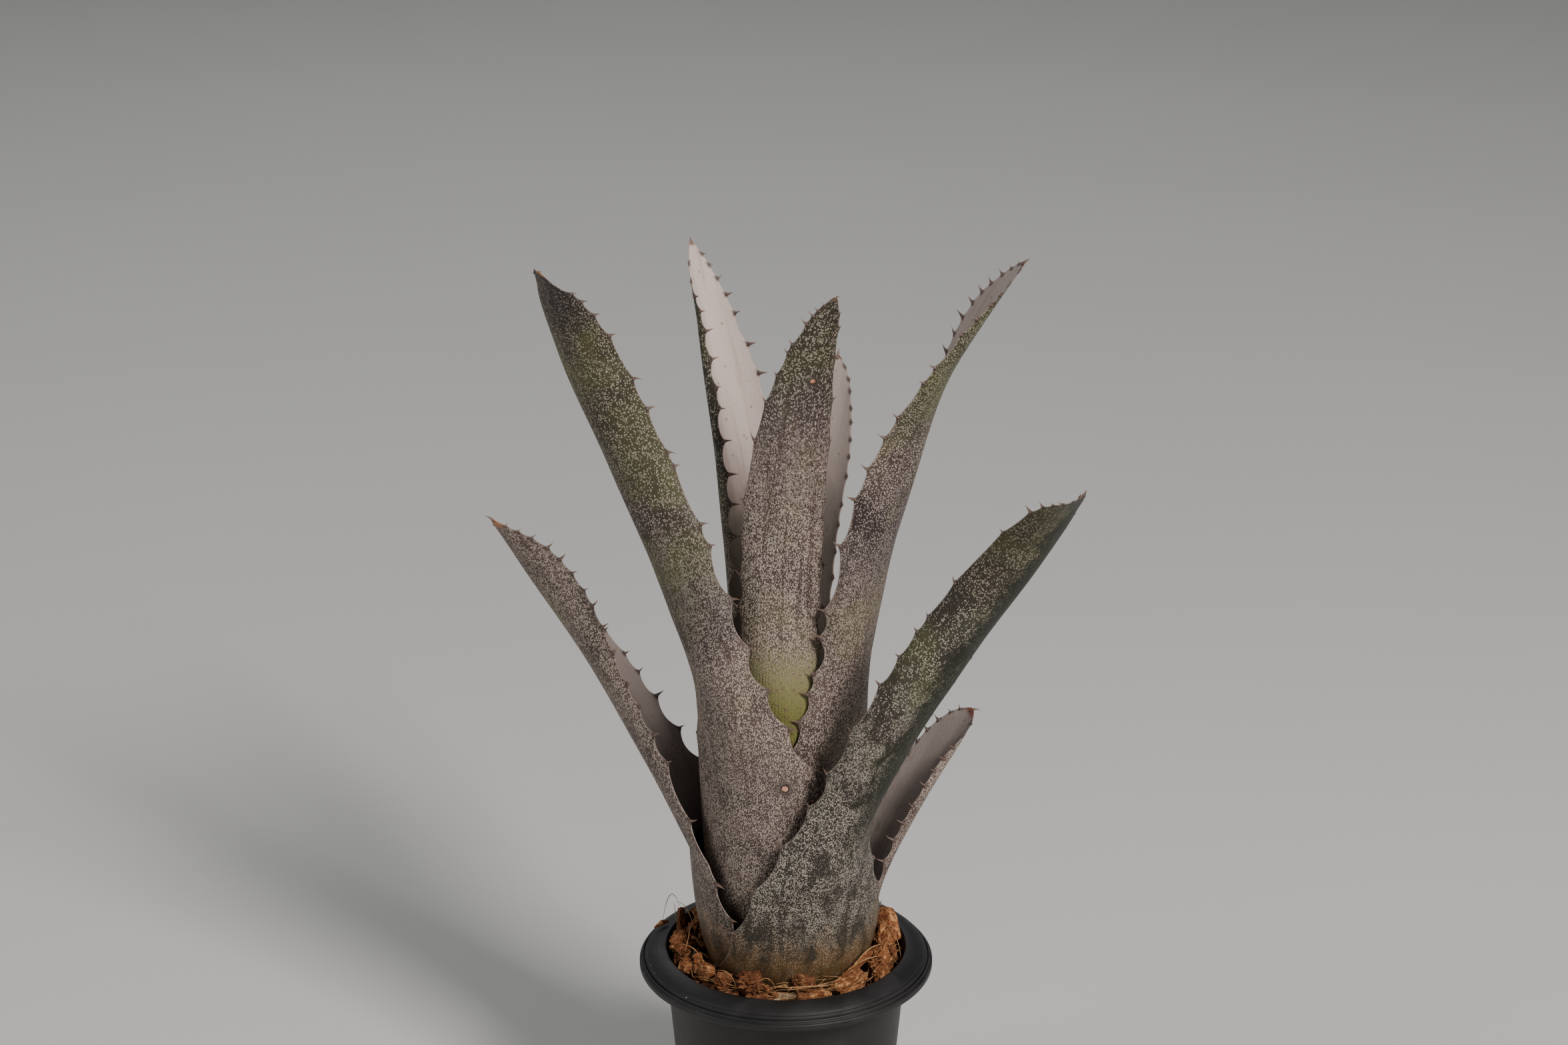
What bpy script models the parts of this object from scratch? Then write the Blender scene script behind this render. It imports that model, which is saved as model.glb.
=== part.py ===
"""Tank bromeliad in a round nursery pot, as separate solids.

Metres, +Z up. The origin is the centre of the pot's flat base, and -Y is the plant's front.
Heights named "above the bed" start at the flat top of the coir bed, just under the pot's mouth.
"""

import math
import random
from dataclasses import dataclass

import bmesh
import bpy
import numpy as np
from mathutils import Euler, Vector

# Pot
POT_HEIGHT = 0.110
POT_BASE_RADIUS = 0.040
POT_WALL = 0.0012
POT_FLOOR = 0.0020
POT_FOOT_BEVEL = 0.0020
RIM_RADIUS = 0.060
RIM_OVERHANG = 0.0100  # from the outside of the wall to the outside of the rim
RIM_DROP = 0.0085  # from the mouth to the rim's lower edge
RIM_CROWN = 0.0050  # how far the rim's top falls on its way out
RIM_THICKNESS = 0.0014
RIM_ROUND = 0.0007
RIM_SEGMENTS = 8
DRAIN_COUNT = 6
DRAIN_RADIUS = 0.0040
DRAIN_CIRCLE = 0.0240
ROUND_STEPS = 72

# Clearances
SEAT = 0.0003
LEAF_GAP = 0.0011

# Coir bed, husk chips and grit
BED_BELOW_MOUTH = 0.0100
MITRE_LIMIT = 0.5  # keeps the bed's offset corners round the stem from running out
BED_LOOSENESS = 0.0006  # between the bed and the leaf bases in its pit
CHIP_RINGS = (12, 14)  # chips in the inner ring, then the outer ring
CHIP_HEIGHTS = (0.0070, 0.0105)
CHIP_GAP = 0.0003
CHIP_LOWEST = 0.7  # least shares of a chip's full height, full length and square corners
CHIP_SHORTEST = 0.6
CHIP_RAGGED = 0.82
CHIP_TILT = 16.0
CHIP_SEED = 41
GRIT_CELLS = ((0, 1), (0, 9))  # ring and cell of each pumice grain
FLAKE_CELL = (0, 0)  # ring and cell of the pale bark flake

# Rosette body: the innermost sheath's radius grows from the crown up
CROWN_RADIUS = 0.0070
BODY_SWELL = 0.0155
SWELL_HEIGHT = 0.0150
SWELL_FROM = -0.0080
BODY_FLARE = 0.045
LEAF_THICKNESS = 0.0009
LEAF_BASE = -0.0030
SHEATH_WRAP = 100.0  # most degrees that a sheath reaches round the body, each way
BLEND_BELOW = 0.015
BLEND_LENGTH = 0.055
TIP_HALF_WIDTH = 0.0006
NARROW_FROM = -0.25  # shares of the blade, negative on the sheath, between which a leaf narrows
NARROW_TO = 0.22
TAPER_BLUNTNESS = 2.2  # exponents of the narrowing towards the tip
TAPER_FULLNESS = 0.8
TIP_FLATTENING = 0.6  # share of the blade's half-width below which the channel bends no tighter
BLADE_STIFFNESS = 0.36  # share of a blade's span that keeps its starting and ending direction
BODY_REACH = 0.040  # how far above its parting a leaf still follows the body's radius
SLOPE_STEP = 0.0005
SHEATH_ROWS = (0.0, 0.006, 0.013, 0.022, 0.034, 0.048, 0.064, 0.082)
BLADE_ROWS = 11
ROW_CLEARANCE = 0.004  # a sheath row closer than this below the parting is left out
MIDLINE_STEPS = 80
LEAF_COLUMNS = 11

# Stem
STEM_RADIUS = 0.0070
STEM_TOP = 0.0120
ROOT_RADIUS = 0.0120
ROOT_DEPTH = 0.0320
ROOT_TIP = 0.0080  # height of the root's tapered end
ROOT_BEVEL = 0.0060
STEM_BEVEL = 0.0028
STEM_DOME = 0.0010
STEM_FILLET = 0.0007
PLATE_THICKNESS = 0.0060
PLATE_EDGE = 0.0024
PLATE_BEVEL = 0.0055


@dataclass(frozen=True)
class Leaf:
    """One leaf: a sheath round the rosette's body, then a channelled blade."""

    name: str
    azimuth: float  # degrees from -Y towards +X
    rank: int  # 0 is the oldest and outermost
    parting: float  # height above the bed where the blade leaves the body
    lean: float  # degrees from upright there
    reach: float  # tip's distance out from the sheath
    sway: float  # tip's distance sideways
    height: float  # tip's height above the bed
    tip_lean: float  # degrees from upright at the tip
    tip_turn: float  # degrees that the tip's lean turns sideways
    sheath_wrap: float  # degrees of the body that half the sheath covers, at the parting
    blade_half: float  # half-width along the surface
    channel: float  # half-angle of the blade's arc across, in degrees
    twist: float  # degrees over the blade
    taper_from: float  # share of the blade after which it narrows


LEAVES = (
    Leaf("leaf_front_right", 23, 0, 0.046, 18, 0.111, 0.049, 0.249, 64, -23, 68.5, 0.0165, 66, -4, 0.50),
    Leaf("leaf_low_left", -102, 1, 0.055, 30, 0.082, -0.003, 0.185, 32, 26, 68.0, 0.0230, 65, 22, 0.55),
    Leaf("leaf_low_right", 111, 2, 0.018, 21, 0.048, -0.003, 0.103, 35, -14, 80.9, 0.0160, 28, -2, 0.50),
    Leaf("leaf_back", 177, 3, 0.073, 6, 0.048, -0.017, 0.236, 32, -28, 80.2, 0.0160, 52, 1, 0.70),
    Leaf("leaf_tall_left", -36, 4, 0.097, 11, 0.049, -0.052, 0.307, 40, 25, 92.1, 0.0185, 60, -3, 0.65),
    Leaf("leaf_back_left", -160, 5, 0.099, 3, 0.034, 0.016, 0.292, 25, 13, 90.4, 0.0195, 61, 21, 0.50),
    Leaf("leaf_tall_right", 52, 6, 0.093, 3, 0.069, 0.014, 0.315, 39, -6, 104.6, 0.0190, 49, -4, 0.50),
    Leaf("leaf_centre", -6, 7, 0.102, 1, 0.005, 0.022, 0.297, 27, 47, 98.5, 0.0175, 48, 20, 0.45),
    Leaf("leaf_heart", 131, 8, 0.070, -6, -0.020, 0.000, 0.170, 4, 0, 89.6, 0.0090, 95, 0, 0.55),
)

LEAF_PITCH = LEAF_THICKNESS + LEAF_GAP
BED_TOP = POT_HEIGHT - BED_BELOW_MOUTH
NECK_RADIUS = RIM_RADIUS - RIM_OVERHANG


# ---------------------------------------------------------------- helpers


def material(name, colour, roughness, metallic=0.0):
    """A plain Principled material."""
    made = bpy.data.materials.new(name)
    made.use_nodes = True
    shader = made.node_tree.nodes["Principled BSDF"]
    shader.inputs["Base Color"].default_value = (*colour, 1.0)
    shader.inputs["Roughness"].default_value = roughness
    shader.inputs["Metallic"].default_value = metallic
    return made


def add_object(name, mesh, finish, smooth=True, parent=None):
    """Link a mesh into the scene as a named sub-part."""
    made = bpy.data.objects.new(name, mesh)
    bpy.context.scene.collection.objects.link(made)
    mesh.materials.append(finish)
    if smooth:
        mesh.shade_smooth()
        mesh.set_sharp_from_angle(angle=math.radians(40))
    made.parent = parent
    return made


def turned(name, profile, finish, parent):
    """A solid turned round Z: the profile leaves the axis, runs down its outer side and comes back."""
    mesh = bpy.data.meshes.new(name)
    edges = [(k, k + 1) for k in range(len(profile) - 1)]
    mesh.from_pydata([(r, 0.0, z) for r, z in profile], edges, [])
    made = add_object(name, mesh, finish, smooth=False, parent=parent)
    screw = made.modifiers.new("turn", "SCREW")
    screw.steps = screw.render_steps = ROUND_STEPS
    screw.use_merge_vertices = True
    screw.merge_threshold = 0.00001
    screw.use_smooth_shade = True
    return made


def wall_inner_radius(height):
    """The inside of the pot's straight tapered wall, at a height above its base."""
    outer = POT_BASE_RADIUS + (NECK_RADIUS - POT_BASE_RADIUS) * height / POT_HEIGHT
    return outer - POT_WALL


def body_radius(above_bed, rank):
    """Middle of the leaf of this rank where it wraps the rosette's body."""
    swell = 1 - np.exp(-(above_bed - SWELL_FROM) / SWELL_HEIGHT)
    heart = CROWN_RADIUS + BODY_SWELL * swell + BODY_FLARE * np.maximum(above_bed, 0)
    outside = max(leaf.rank for leaf in LEAVES) - rank
    return heart + outside * LEAF_PITCH


# ---------------------------------------------------------------- pot


def rim_top(share):
    """A point on the rim's falling top, from its inner edge (0) to its outer edge (1)."""
    inner = wall_inner_radius(POT_HEIGHT) + RIM_ROUND
    outer = RIM_RADIUS - RIM_ROUND
    return inner + (outer - inner) * share, POT_HEIGHT - RIM_CROWN * share**2


def pot_profile():
    """The pot's section: floor, up the inner wall, over the rim, down the outer wall and under."""
    mouth_inner = wall_inner_radius(POT_HEIGHT)
    points = [
        (0.0, POT_FLOOR),
        (wall_inner_radius(POT_FLOOR), POT_FLOOR),
        (mouth_inner, POT_HEIGHT - RIM_ROUND),
    ]
    points += [rim_top(k / RIM_SEGMENTS) for k in range(RIM_SEGMENTS + 1)]
    lip_bottom = POT_HEIGHT - RIM_DROP
    lip_inner = RIM_RADIUS - RIM_THICKNESS
    points += [
        (RIM_RADIUS, POT_HEIGHT - RIM_CROWN - RIM_ROUND),
        (RIM_RADIUS, lip_bottom + RIM_ROUND),
        (RIM_RADIUS - RIM_ROUND, lip_bottom),
        (lip_inner, lip_bottom),
    ]
    for k in range(RIM_SEGMENTS - 1, 1, -2):
        r, z = rim_top(k / RIM_SEGMENTS)
        points.append((min(r, lip_inner), z - RIM_THICKNESS))
    neck = POT_HEIGHT - RIM_THICKNESS * 2
    points += [
        (wall_inner_radius(neck) + POT_WALL, neck),
        (wall_inner_radius(POT_FOOT_BEVEL) + POT_WALL, POT_FOOT_BEVEL),
        (POT_BASE_RADIUS - POT_FOOT_BEVEL, 0.0),
        (0.0, 0.0),
    ]
    return points


def make_pot(finish, parent):
    """The pot, with round drain holes cut through its floor."""
    pot = turned("pot", pot_profile(), finish, parent)
    mesh = bpy.data.meshes.new("drain_cutter")
    shape = bmesh.new()
    for k in range(DRAIN_COUNT):
        angle = math.tau * (k + 0.5) / DRAIN_COUNT
        drill = bmesh.ops.create_cone(
            shape, cap_ends=True, segments=16, radius1=DRAIN_RADIUS, radius2=DRAIN_RADIUS,
            depth=POT_FLOOR * 4,
        )
        place = Vector((math.cos(angle), math.sin(angle), 0.0)) * DRAIN_CIRCLE
        bmesh.ops.translate(shape, verts=drill["verts"], vec=place)
    shape.to_mesh(mesh)
    shape.free()
    cutter = bpy.data.objects.new("drain_cutter", mesh)
    bpy.context.scene.collection.objects.link(cutter)
    cutter.hide_render = True
    cutter.display_type = "WIRE"
    cutter.parent = parent
    cut = pot.modifiers.new("drains", "BOOLEAN")
    cut.operation = "DIFFERENCE"
    cut.object = cutter
    return pot


# ---------------------------------------------------------------- coir bed


def leaf_slope_rise():
    """How far half a leaf's thickness reaches below its base, where the sheath leans out."""
    grow = BODY_SWELL / SWELL_HEIGHT * math.exp(-(LEAF_BASE - SWELL_FROM) / SWELL_HEIGHT)
    return LEAF_THICKNESS / 2 * grow / math.hypot(1, grow)


def plate_top():
    """Top of the stem's plate, just under the leaf bases, above the bed's level."""
    return LEAF_BASE - leaf_slope_rise() - SEAT


def pit_radius(above_bed):
    """The pit that holds the leaf bases, clear of the outermost sheath."""
    return float(body_radius(above_bed, 0)) + LEAF_THICKNESS / 2 + BED_LOOSENESS


def stem_profile():
    """The short stem: a stub inside the heart leaf, the plate that carries the leaves, and the root."""
    plate_radius = float(body_radius(LEAF_BASE, 0)) + LEAF_THICKNESS / 2
    top = plate_top()
    return [
        (0.0, STEM_TOP),
        (STEM_RADIUS - STEM_BEVEL, STEM_TOP - STEM_DOME),
        (STEM_RADIUS, STEM_TOP - STEM_DOME - STEM_BEVEL),
        (STEM_RADIUS, top + STEM_FILLET),
        (STEM_RADIUS + STEM_FILLET, top),
        (plate_radius, top),
        (plate_radius, top - PLATE_EDGE),
        (plate_radius - PLATE_BEVEL, top - PLATE_THICKNESS),
        (ROOT_RADIUS, ROOT_TIP - ROOT_DEPTH),
        (ROOT_RADIUS - ROOT_BEVEL, -ROOT_DEPTH),
        (0.0, -ROOT_DEPTH),
    ]


def grown(profile, gap):
    """A section moved outwards by a gap, corner by corner; its ends stay on the axis."""
    points = [Vector(p) for p in profile]
    normals = []
    for here, there in zip(points, points[1:]):
        run = (there - here).normalized()
        normals.append(Vector((-run.y, run.x)))
    moved = [(0.0, profile[0][1] + gap)]
    for point, before, after in zip(points[1:], normals, normals[1:]):
        mitre = (before + after).normalized()
        moved.append(tuple(point + mitre * gap / max(mitre.dot(after), MITRE_LIMIT)))
    moved.append((0.0, profile[-1][1] - gap))
    return moved


def bed_profile():
    """The coir bed: the pit under and round the plant, the flat top, and the pot's taper outside."""
    under_plate = grown(stem_profile(), SEAT)[5:]
    bottom = POT_FLOOR + SEAT - BED_TOP
    return [
        *reversed(under_plate),
        (pit_radius(LEAF_BASE / 2), LEAF_BASE / 2),
        (pit_radius(0.0), 0.0),
        (wall_inner_radius(BED_TOP) - SEAT, 0.0),
        (wall_inner_radius(BED_TOP + bottom) - SEAT, bottom),
        (0.0, bottom),
    ]


# ---------------------------------------------------------------- chips


def chip_cell(ring, index):
    """A chip's own sector: middle radius, middle angle, and half depth and half length inside it."""
    widest = float(body_radius(CHIP_HEIGHTS[0], 0)) + LEAF_THICKNESS / 2 + BED_LOOSENESS
    outermost = wall_inner_radius(BED_TOP) - SEAT
    middle = (widest + outermost) / 2
    inner, outer = ((widest, middle), (middle, outermost))[ring]
    step = math.tau / CHIP_RINGS[ring]
    flat_outer = outer * math.cos(step / 2)
    half_depth = (flat_outer - inner) / 2 - CHIP_GAP
    half_length = inner * math.tan(step / 2) - CHIP_GAP
    return (flat_outer + inner) / 2, step * (index + 0.5 * ring), half_depth, half_length


def chip_mesh(name, ring, index, rng, smoothness):
    """A broken block or a rounded grain, fitted to its sector and standing on the bed."""
    radius, angle, half_depth, half_length = chip_cell(ring, index)
    height = CHIP_HEIGHTS[ring] * rng.uniform(CHIP_LOWEST, 1.0)
    tilt = Euler([math.radians(rng.uniform(-CHIP_TILT, CHIP_TILT)) for _ in range(3)])
    blank = bmesh.new()
    if smoothness:
        bmesh.ops.create_icosphere(blank, subdivisions=1, radius=0.5)
    else:
        bmesh.ops.create_cube(blank, size=1.0)
        bmesh.ops.subdivide_edges(blank, edges=blank.edges[:], cuts=1, use_grid_fill=True)
    size = Vector((half_depth * 2, half_length * 2 * rng.uniform(CHIP_SHORTEST, 1.0), height))
    shape = bmesh.new()
    for corner in blank.verts:
        ragged = Vector([rng.uniform(CHIP_RAGGED, 1.0) for _ in range(3)])
        shape.verts.new(tilt.to_matrix() @ (corner.co * ragged * size))
    blank.free()
    hull = bmesh.ops.convex_hull(shape, input=shape.verts[:])
    spare = {v for key in ("geom_interior", "geom_unused") for v in hull[key]}
    spare = [v for v in spare if isinstance(v, bmesh.types.BMVert)]
    bmesh.ops.delete(shape, geom=spare, context="VERTS")
    limits = (half_depth, half_length, CHIP_HEIGHTS[ring] / 2)
    for axis, most in enumerate(limits):
        low = min(v.co[axis] for v in shape.verts)
        high = max(v.co[axis] for v in shape.verts)
        share = min(1.0, most * 2 / (high - low))
        for vertex in shape.verts:
            vertex.co[axis] = (vertex.co[axis] - (low + high) / 2) * share
    lowest = min(v.co.z for v in shape.verts)
    for vertex in shape.verts:
        x, y, z = vertex.co
        out = radius + x
        # Angle 0 is the front; the block's depth points out from the axis.
        vertex.co = Vector((
            out * math.sin(angle) + y * math.cos(angle),
            -out * math.cos(angle) + y * math.sin(angle),
            z - lowest + SEAT,
        ))
    mesh = bpy.data.meshes.new(name)
    shape.to_mesh(mesh)
    shape.free()
    return mesh


def make_chips(finishes, parent):
    """Two rings of husk chips with a few pumice grains and one pale flake among them."""
    rng = random.Random(CHIP_SEED)
    counts = {"husk_chip": 0, "pumice_grain": 0}
    for ring, count in enumerate(CHIP_RINGS):
        for index in range(count):
            cell = (ring, index)
            kind = "pumice_grain" if cell in GRIT_CELLS else "husk_chip"
            if cell == FLAKE_CELL:
                name, finish = "pale_flake", finishes["pale"]
            else:
                counts[kind] += 1
                name, finish = f"{kind}_{counts[kind]:02d}", finishes[kind]
            mesh = chip_mesh(name, ring, index, rng, kind == "pumice_grain")
            add_object(name, mesh, finish, smooth=False, parent=parent)


# ---------------------------------------------------------------- leaves


def smoothstep(share):
    """0 to 1 with level ends."""
    share = np.clip(share, 0.0, 1.0)
    return share * share * (3 - 2 * share)


def unit(rows):
    """Each row scaled to length 1."""
    return rows / np.linalg.norm(rows, axis=1)[:, None]


def leaf_midline(leaf):
    """A fine line along the leaf's middle, in (out, side, up), and the length that is sheath."""
    heights = np.linspace(LEAF_BASE, leaf.parting, MIDLINE_STEPS // 2)
    sheath = np.stack([body_radius(heights, leaf.rank), heights * 0, heights], axis=1)
    start = sheath[-1]
    tip = np.array([start[0] + leaf.reach, leaf.sway, leaf.height])
    lean, tip_lean, turn = (math.radians(a) for a in (leaf.lean, leaf.tip_lean, leaf.tip_turn))
    leaves_along = np.array([math.sin(lean), 0.0, math.cos(lean)])
    flat = math.sin(tip_lean)
    arrives_along = np.array([flat * math.cos(turn), flat * math.sin(turn), math.cos(tip_lean)])
    handle = BLADE_STIFFNESS * np.linalg.norm(tip - start)
    share = np.linspace(0.0, 1.0, MIDLINE_STEPS)[1:, None]
    blade = (
        (1 - share) ** 3 * start
        + 3 * (1 - share) ** 2 * share * (start + leaves_along * handle)
        + 3 * (1 - share) * share**2 * (tip - arrives_along * handle)
        + share**3 * tip
    )
    line = np.vstack([sheath, blade])
    along = np.concatenate([[0.0], np.cumsum(np.linalg.norm(np.diff(line, axis=0), axis=1))])
    return line, along, along[len(sheath) - 1]


def leaf_surface(leaf):
    """The leaf's middle surface as a grid of points, rows from base to tip."""
    line, along, sheath_length = leaf_midline(leaf)

    def at(stations):
        return np.stack([np.interp(stations, along, line[:, k]) for k in range(3)], axis=1)

    lower = [h for h in (LEAF_BASE, *SHEATH_ROWS) if h < leaf.parting - ROW_CLEARANCE]
    upper = np.linspace(sheath_length, along[-1], BLADE_ROWS + 1)
    stations = np.concatenate([np.interp(lower, line[:, 2], along), upper])
    middle = at(stations)
    ahead, behind = np.minimum(stations + SLOPE_STEP, along[-1]), np.maximum(stations - SLOPE_STEP, 0)
    tangent = unit(at(ahead) - at(behind))
    free = smoothstep((stations - sheath_length + BLEND_BELOW) / BLEND_LENGTH)
    share = (stations - sheath_length) / (along[-1] - sheath_length)

    # Half-width along the surface: wide sheath, narrower blade, pointed tip.
    sheath_half = math.radians(leaf.sheath_wrap) * body_radius(leaf.parting, leaf.rank)
    narrowed = smoothstep((share - NARROW_FROM) / (NARROW_TO - NARROW_FROM))
    width = sheath_half + (leaf.blade_half - sheath_half) * narrowed
    taper = np.clip((share - leaf.taper_from) / (1 - leaf.taper_from), 0.0, 1.0)
    width = width * (1 - taper**TAPER_BLUNTNESS) ** TAPER_FULLNESS + TIP_HALF_WIDTH
    radius = body_radius(np.minimum(middle[:, 2], leaf.parting + BODY_REACH), leaf.rank)
    width = np.minimum(width, math.radians(SHEATH_WRAP) * radius)

    # Across: a curve of constant bend, round the body below and as a channel above.
    turn = math.radians(leaf.twist) * smoothstep(share)
    outward = np.stack([np.cos(turn), np.sin(turn), turn * 0], axis=1)
    inward = -outward + np.sum(outward * tangent, axis=1)[:, None] * tangent
    mix = free[:, None]
    normal = unit((1 - mix) * np.array([-1.0, 0.0, 0.0]) + mix * unit(inward))
    side = (1 - mix) * np.array([0.0, 1.0, 0.0]) + mix * unit(np.cross(normal, tangent))
    side = unit(side)
    blade_bend = math.radians(leaf.channel) / np.maximum(width, leaf.blade_half * TIP_FLATTENING)
    bend = ((1 - free) / radius + free * blade_bend)[:, None]
    across = np.linspace(-1.0, 1.0, LEAF_COLUMNS)[None]
    angle = width[:, None] * bend * across
    points = (
        middle[:, None, :]
        + side[:, None, :] * (np.sin(angle) / bend)[..., None]
        + normal[:, None, :] * ((1 - np.cos(angle)) / bend)[..., None]
    )

    facing = math.radians(leaf.azimuth)
    out = np.array([math.sin(facing), -math.cos(facing), 0.0])
    sideways = np.array([math.cos(facing), math.sin(facing), 0.0])
    upward = np.array([0.0, 0.0, 1.0])
    return points[..., 0:1] * out + points[..., 1:2] * sideways + points[..., 2:3] * upward


def strip_faces(rows, columns):
    """Triangles of a grid, split along the diagonals that follow its narrowing sides."""
    faces = []
    for row in range(rows - 1):
        for column in range(columns - 1):
            here, right = row * columns + column, row * columns + column + 1
            above, above_right = here + columns, right + columns
            if column < (columns - 1) // 2:
                faces += [(here, right, above), (right, above_right, above)]
            else:
                faces += [(here, right, above_right), (here, above_right, above)]
    return faces


def make_leaf(leaf, finish, parent):
    """The leaf as a thin solid round its middle surface."""
    grid = leaf_surface(leaf)
    mesh = bpy.data.meshes.new(leaf.name)
    faces = strip_faces(*grid.shape[:2])
    mesh.from_pydata([tuple(p) for p in grid.reshape(-1, 3)], [], faces)
    made = add_object(leaf.name, mesh, finish, parent=parent)
    solid = made.modifiers.new("thickness", "SOLIDIFY")
    solid.thickness = LEAF_THICKNESS
    solid.offset = 0.0
    return made


# ---------------------------------------------------------------- the whole plant


def main():
    """Clear the scene and build the pot, the bed, the stem, the chips and the leaves."""
    for old in list(bpy.data.objects):
        bpy.data.objects.remove(old)
    bed_level = bpy.data.objects.new("bed_level", None)
    bed_level.location = (0.0, 0.0, BED_TOP)
    bpy.context.scene.collection.objects.link(bed_level)
    finishes = {
        "pumice_grain": material("pumice", (0.62, 0.56, 0.44), 0.9),
        "husk_chip": material("husk", (0.42, 0.20, 0.09), 0.9),
        "pale": material("pale_bark", (0.72, 0.62, 0.42), 0.8),
    }
    make_pot(material("pot_plastic", (0.022, 0.022, 0.023), 0.45), None)
    turned("coir_bed", bed_profile(), material("coir", (0.20, 0.10, 0.05), 0.95), bed_level)
    turned("stem", stem_profile(), material("stem", (0.34, 0.30, 0.16), 0.7), bed_level)
    make_chips(finishes, bed_level)
    leaf_finish = material("leaf", (0.30, 0.30, 0.24), 0.6)
    for leaf in LEAVES:
        make_leaf(leaf, leaf_finish, bed_level)


main()
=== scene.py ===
"""Looks of the potted tank bromeliad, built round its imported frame.

Metres, +Z up. The origin is the centre of the pot's base and the plant's front is -Y.
Heights named "above the bed" start at the flat top of the coir bed, just under the pot's mouth.
"""

import logging
import math
import random
from dataclasses import dataclass, field
from enum import Enum
from functools import cached_property

import bmesh
import bpy
import numpy as np
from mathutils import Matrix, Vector, noise


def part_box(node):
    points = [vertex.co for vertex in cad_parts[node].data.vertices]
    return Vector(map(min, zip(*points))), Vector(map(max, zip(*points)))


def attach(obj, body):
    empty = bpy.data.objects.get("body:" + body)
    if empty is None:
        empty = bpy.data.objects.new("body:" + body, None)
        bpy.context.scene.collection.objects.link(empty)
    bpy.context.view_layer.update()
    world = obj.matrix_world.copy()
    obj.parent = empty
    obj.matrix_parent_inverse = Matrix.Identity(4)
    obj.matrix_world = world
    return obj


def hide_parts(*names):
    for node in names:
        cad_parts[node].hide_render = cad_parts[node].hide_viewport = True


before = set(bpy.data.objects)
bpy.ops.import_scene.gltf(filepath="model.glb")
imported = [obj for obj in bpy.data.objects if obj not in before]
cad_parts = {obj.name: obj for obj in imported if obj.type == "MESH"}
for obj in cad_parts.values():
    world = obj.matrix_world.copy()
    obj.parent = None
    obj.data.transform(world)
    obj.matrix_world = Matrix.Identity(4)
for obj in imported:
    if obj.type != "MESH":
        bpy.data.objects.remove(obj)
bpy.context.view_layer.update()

log = logging.getLogger("bromeliad")

MM = 0.001
Colour = tuple[float, float, float]
Point = tuple[float, float, float]


class Slot(Enum):
    """The record's material slots that the rebuilt pieces use."""

    LEAF = "leaf"
    COIR = "coir"
    HUSK = "husk"
    PUMICE = "pumice"
    PALE_BARK = "pale_bark"
    POT = "pot_plastic"


class Edge(Enum):
    """A leaf's two margins, seen from outside with the tip up."""

    LEFT = -1
    RIGHT = 1


# ------------------------------------------------------------ shader maths


class Wire:
    """A node's output socket, with arithmetic that adds nodes."""

    def __init__(self, shader: "Shader", socket: bpy.types.NodeSocket) -> None:
        """Keep the socket and the shader it belongs to."""
        self.shader = shader
        self.socket = socket

    def _math(self, operation: str, *terms: "Wire | float") -> "Wire":
        """One Math node.

        Args:
            operation: the node's operation.
            terms: its inputs, in order.

        Returns:
            The node's output.
        """
        inputs = dict(enumerate(terms))
        return Wire(self.shader, self.shader.node("Math", {"operation": operation}, inputs).outputs[0])

    def __add__(self, other: "Wire | float") -> "Wire":
        """Sum."""
        return self._math("ADD", self, other)

    def __radd__(self, other: float) -> "Wire":
        """Sum, number first."""
        return self._math("ADD", other, self)

    def __sub__(self, other: "Wire | float") -> "Wire":
        """Difference."""
        return self._math("SUBTRACT", self, other)

    def __rsub__(self, other: float) -> "Wire":
        """Difference, number first."""
        return self._math("SUBTRACT", other, self)

    def __mul__(self, other: "Wire | float") -> "Wire":
        """Product."""
        return self._math("MULTIPLY", self, other)

    def __rmul__(self, other: float) -> "Wire":
        """Product, number first."""
        return self._math("MULTIPLY", other, self)

    def most(self, other: "Wire | float") -> "Wire":
        """The larger of two."""
        return self._math("MAXIMUM", self, other)

    def sine(self) -> "Wire":
        """Sine of an angle in radians."""
        return self._math("SINE", self)

    def rise(self, low: float, high: float) -> "Wire":
        """Smoothly 0 to 1 as the value goes from low to high; high may be the lower number.

        Args:
            low: where it is 0.
            high: where it is 1.

        Returns:
            The smoothed share.
        """
        settings = {"interpolation_type": "SMOOTHSTEP"}
        inputs = {"Value": self, "From Min": low, "From Max": high}
        return Wire(self.shader, self.shader.node("MapRange", settings, inputs).outputs["Result"])


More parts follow.
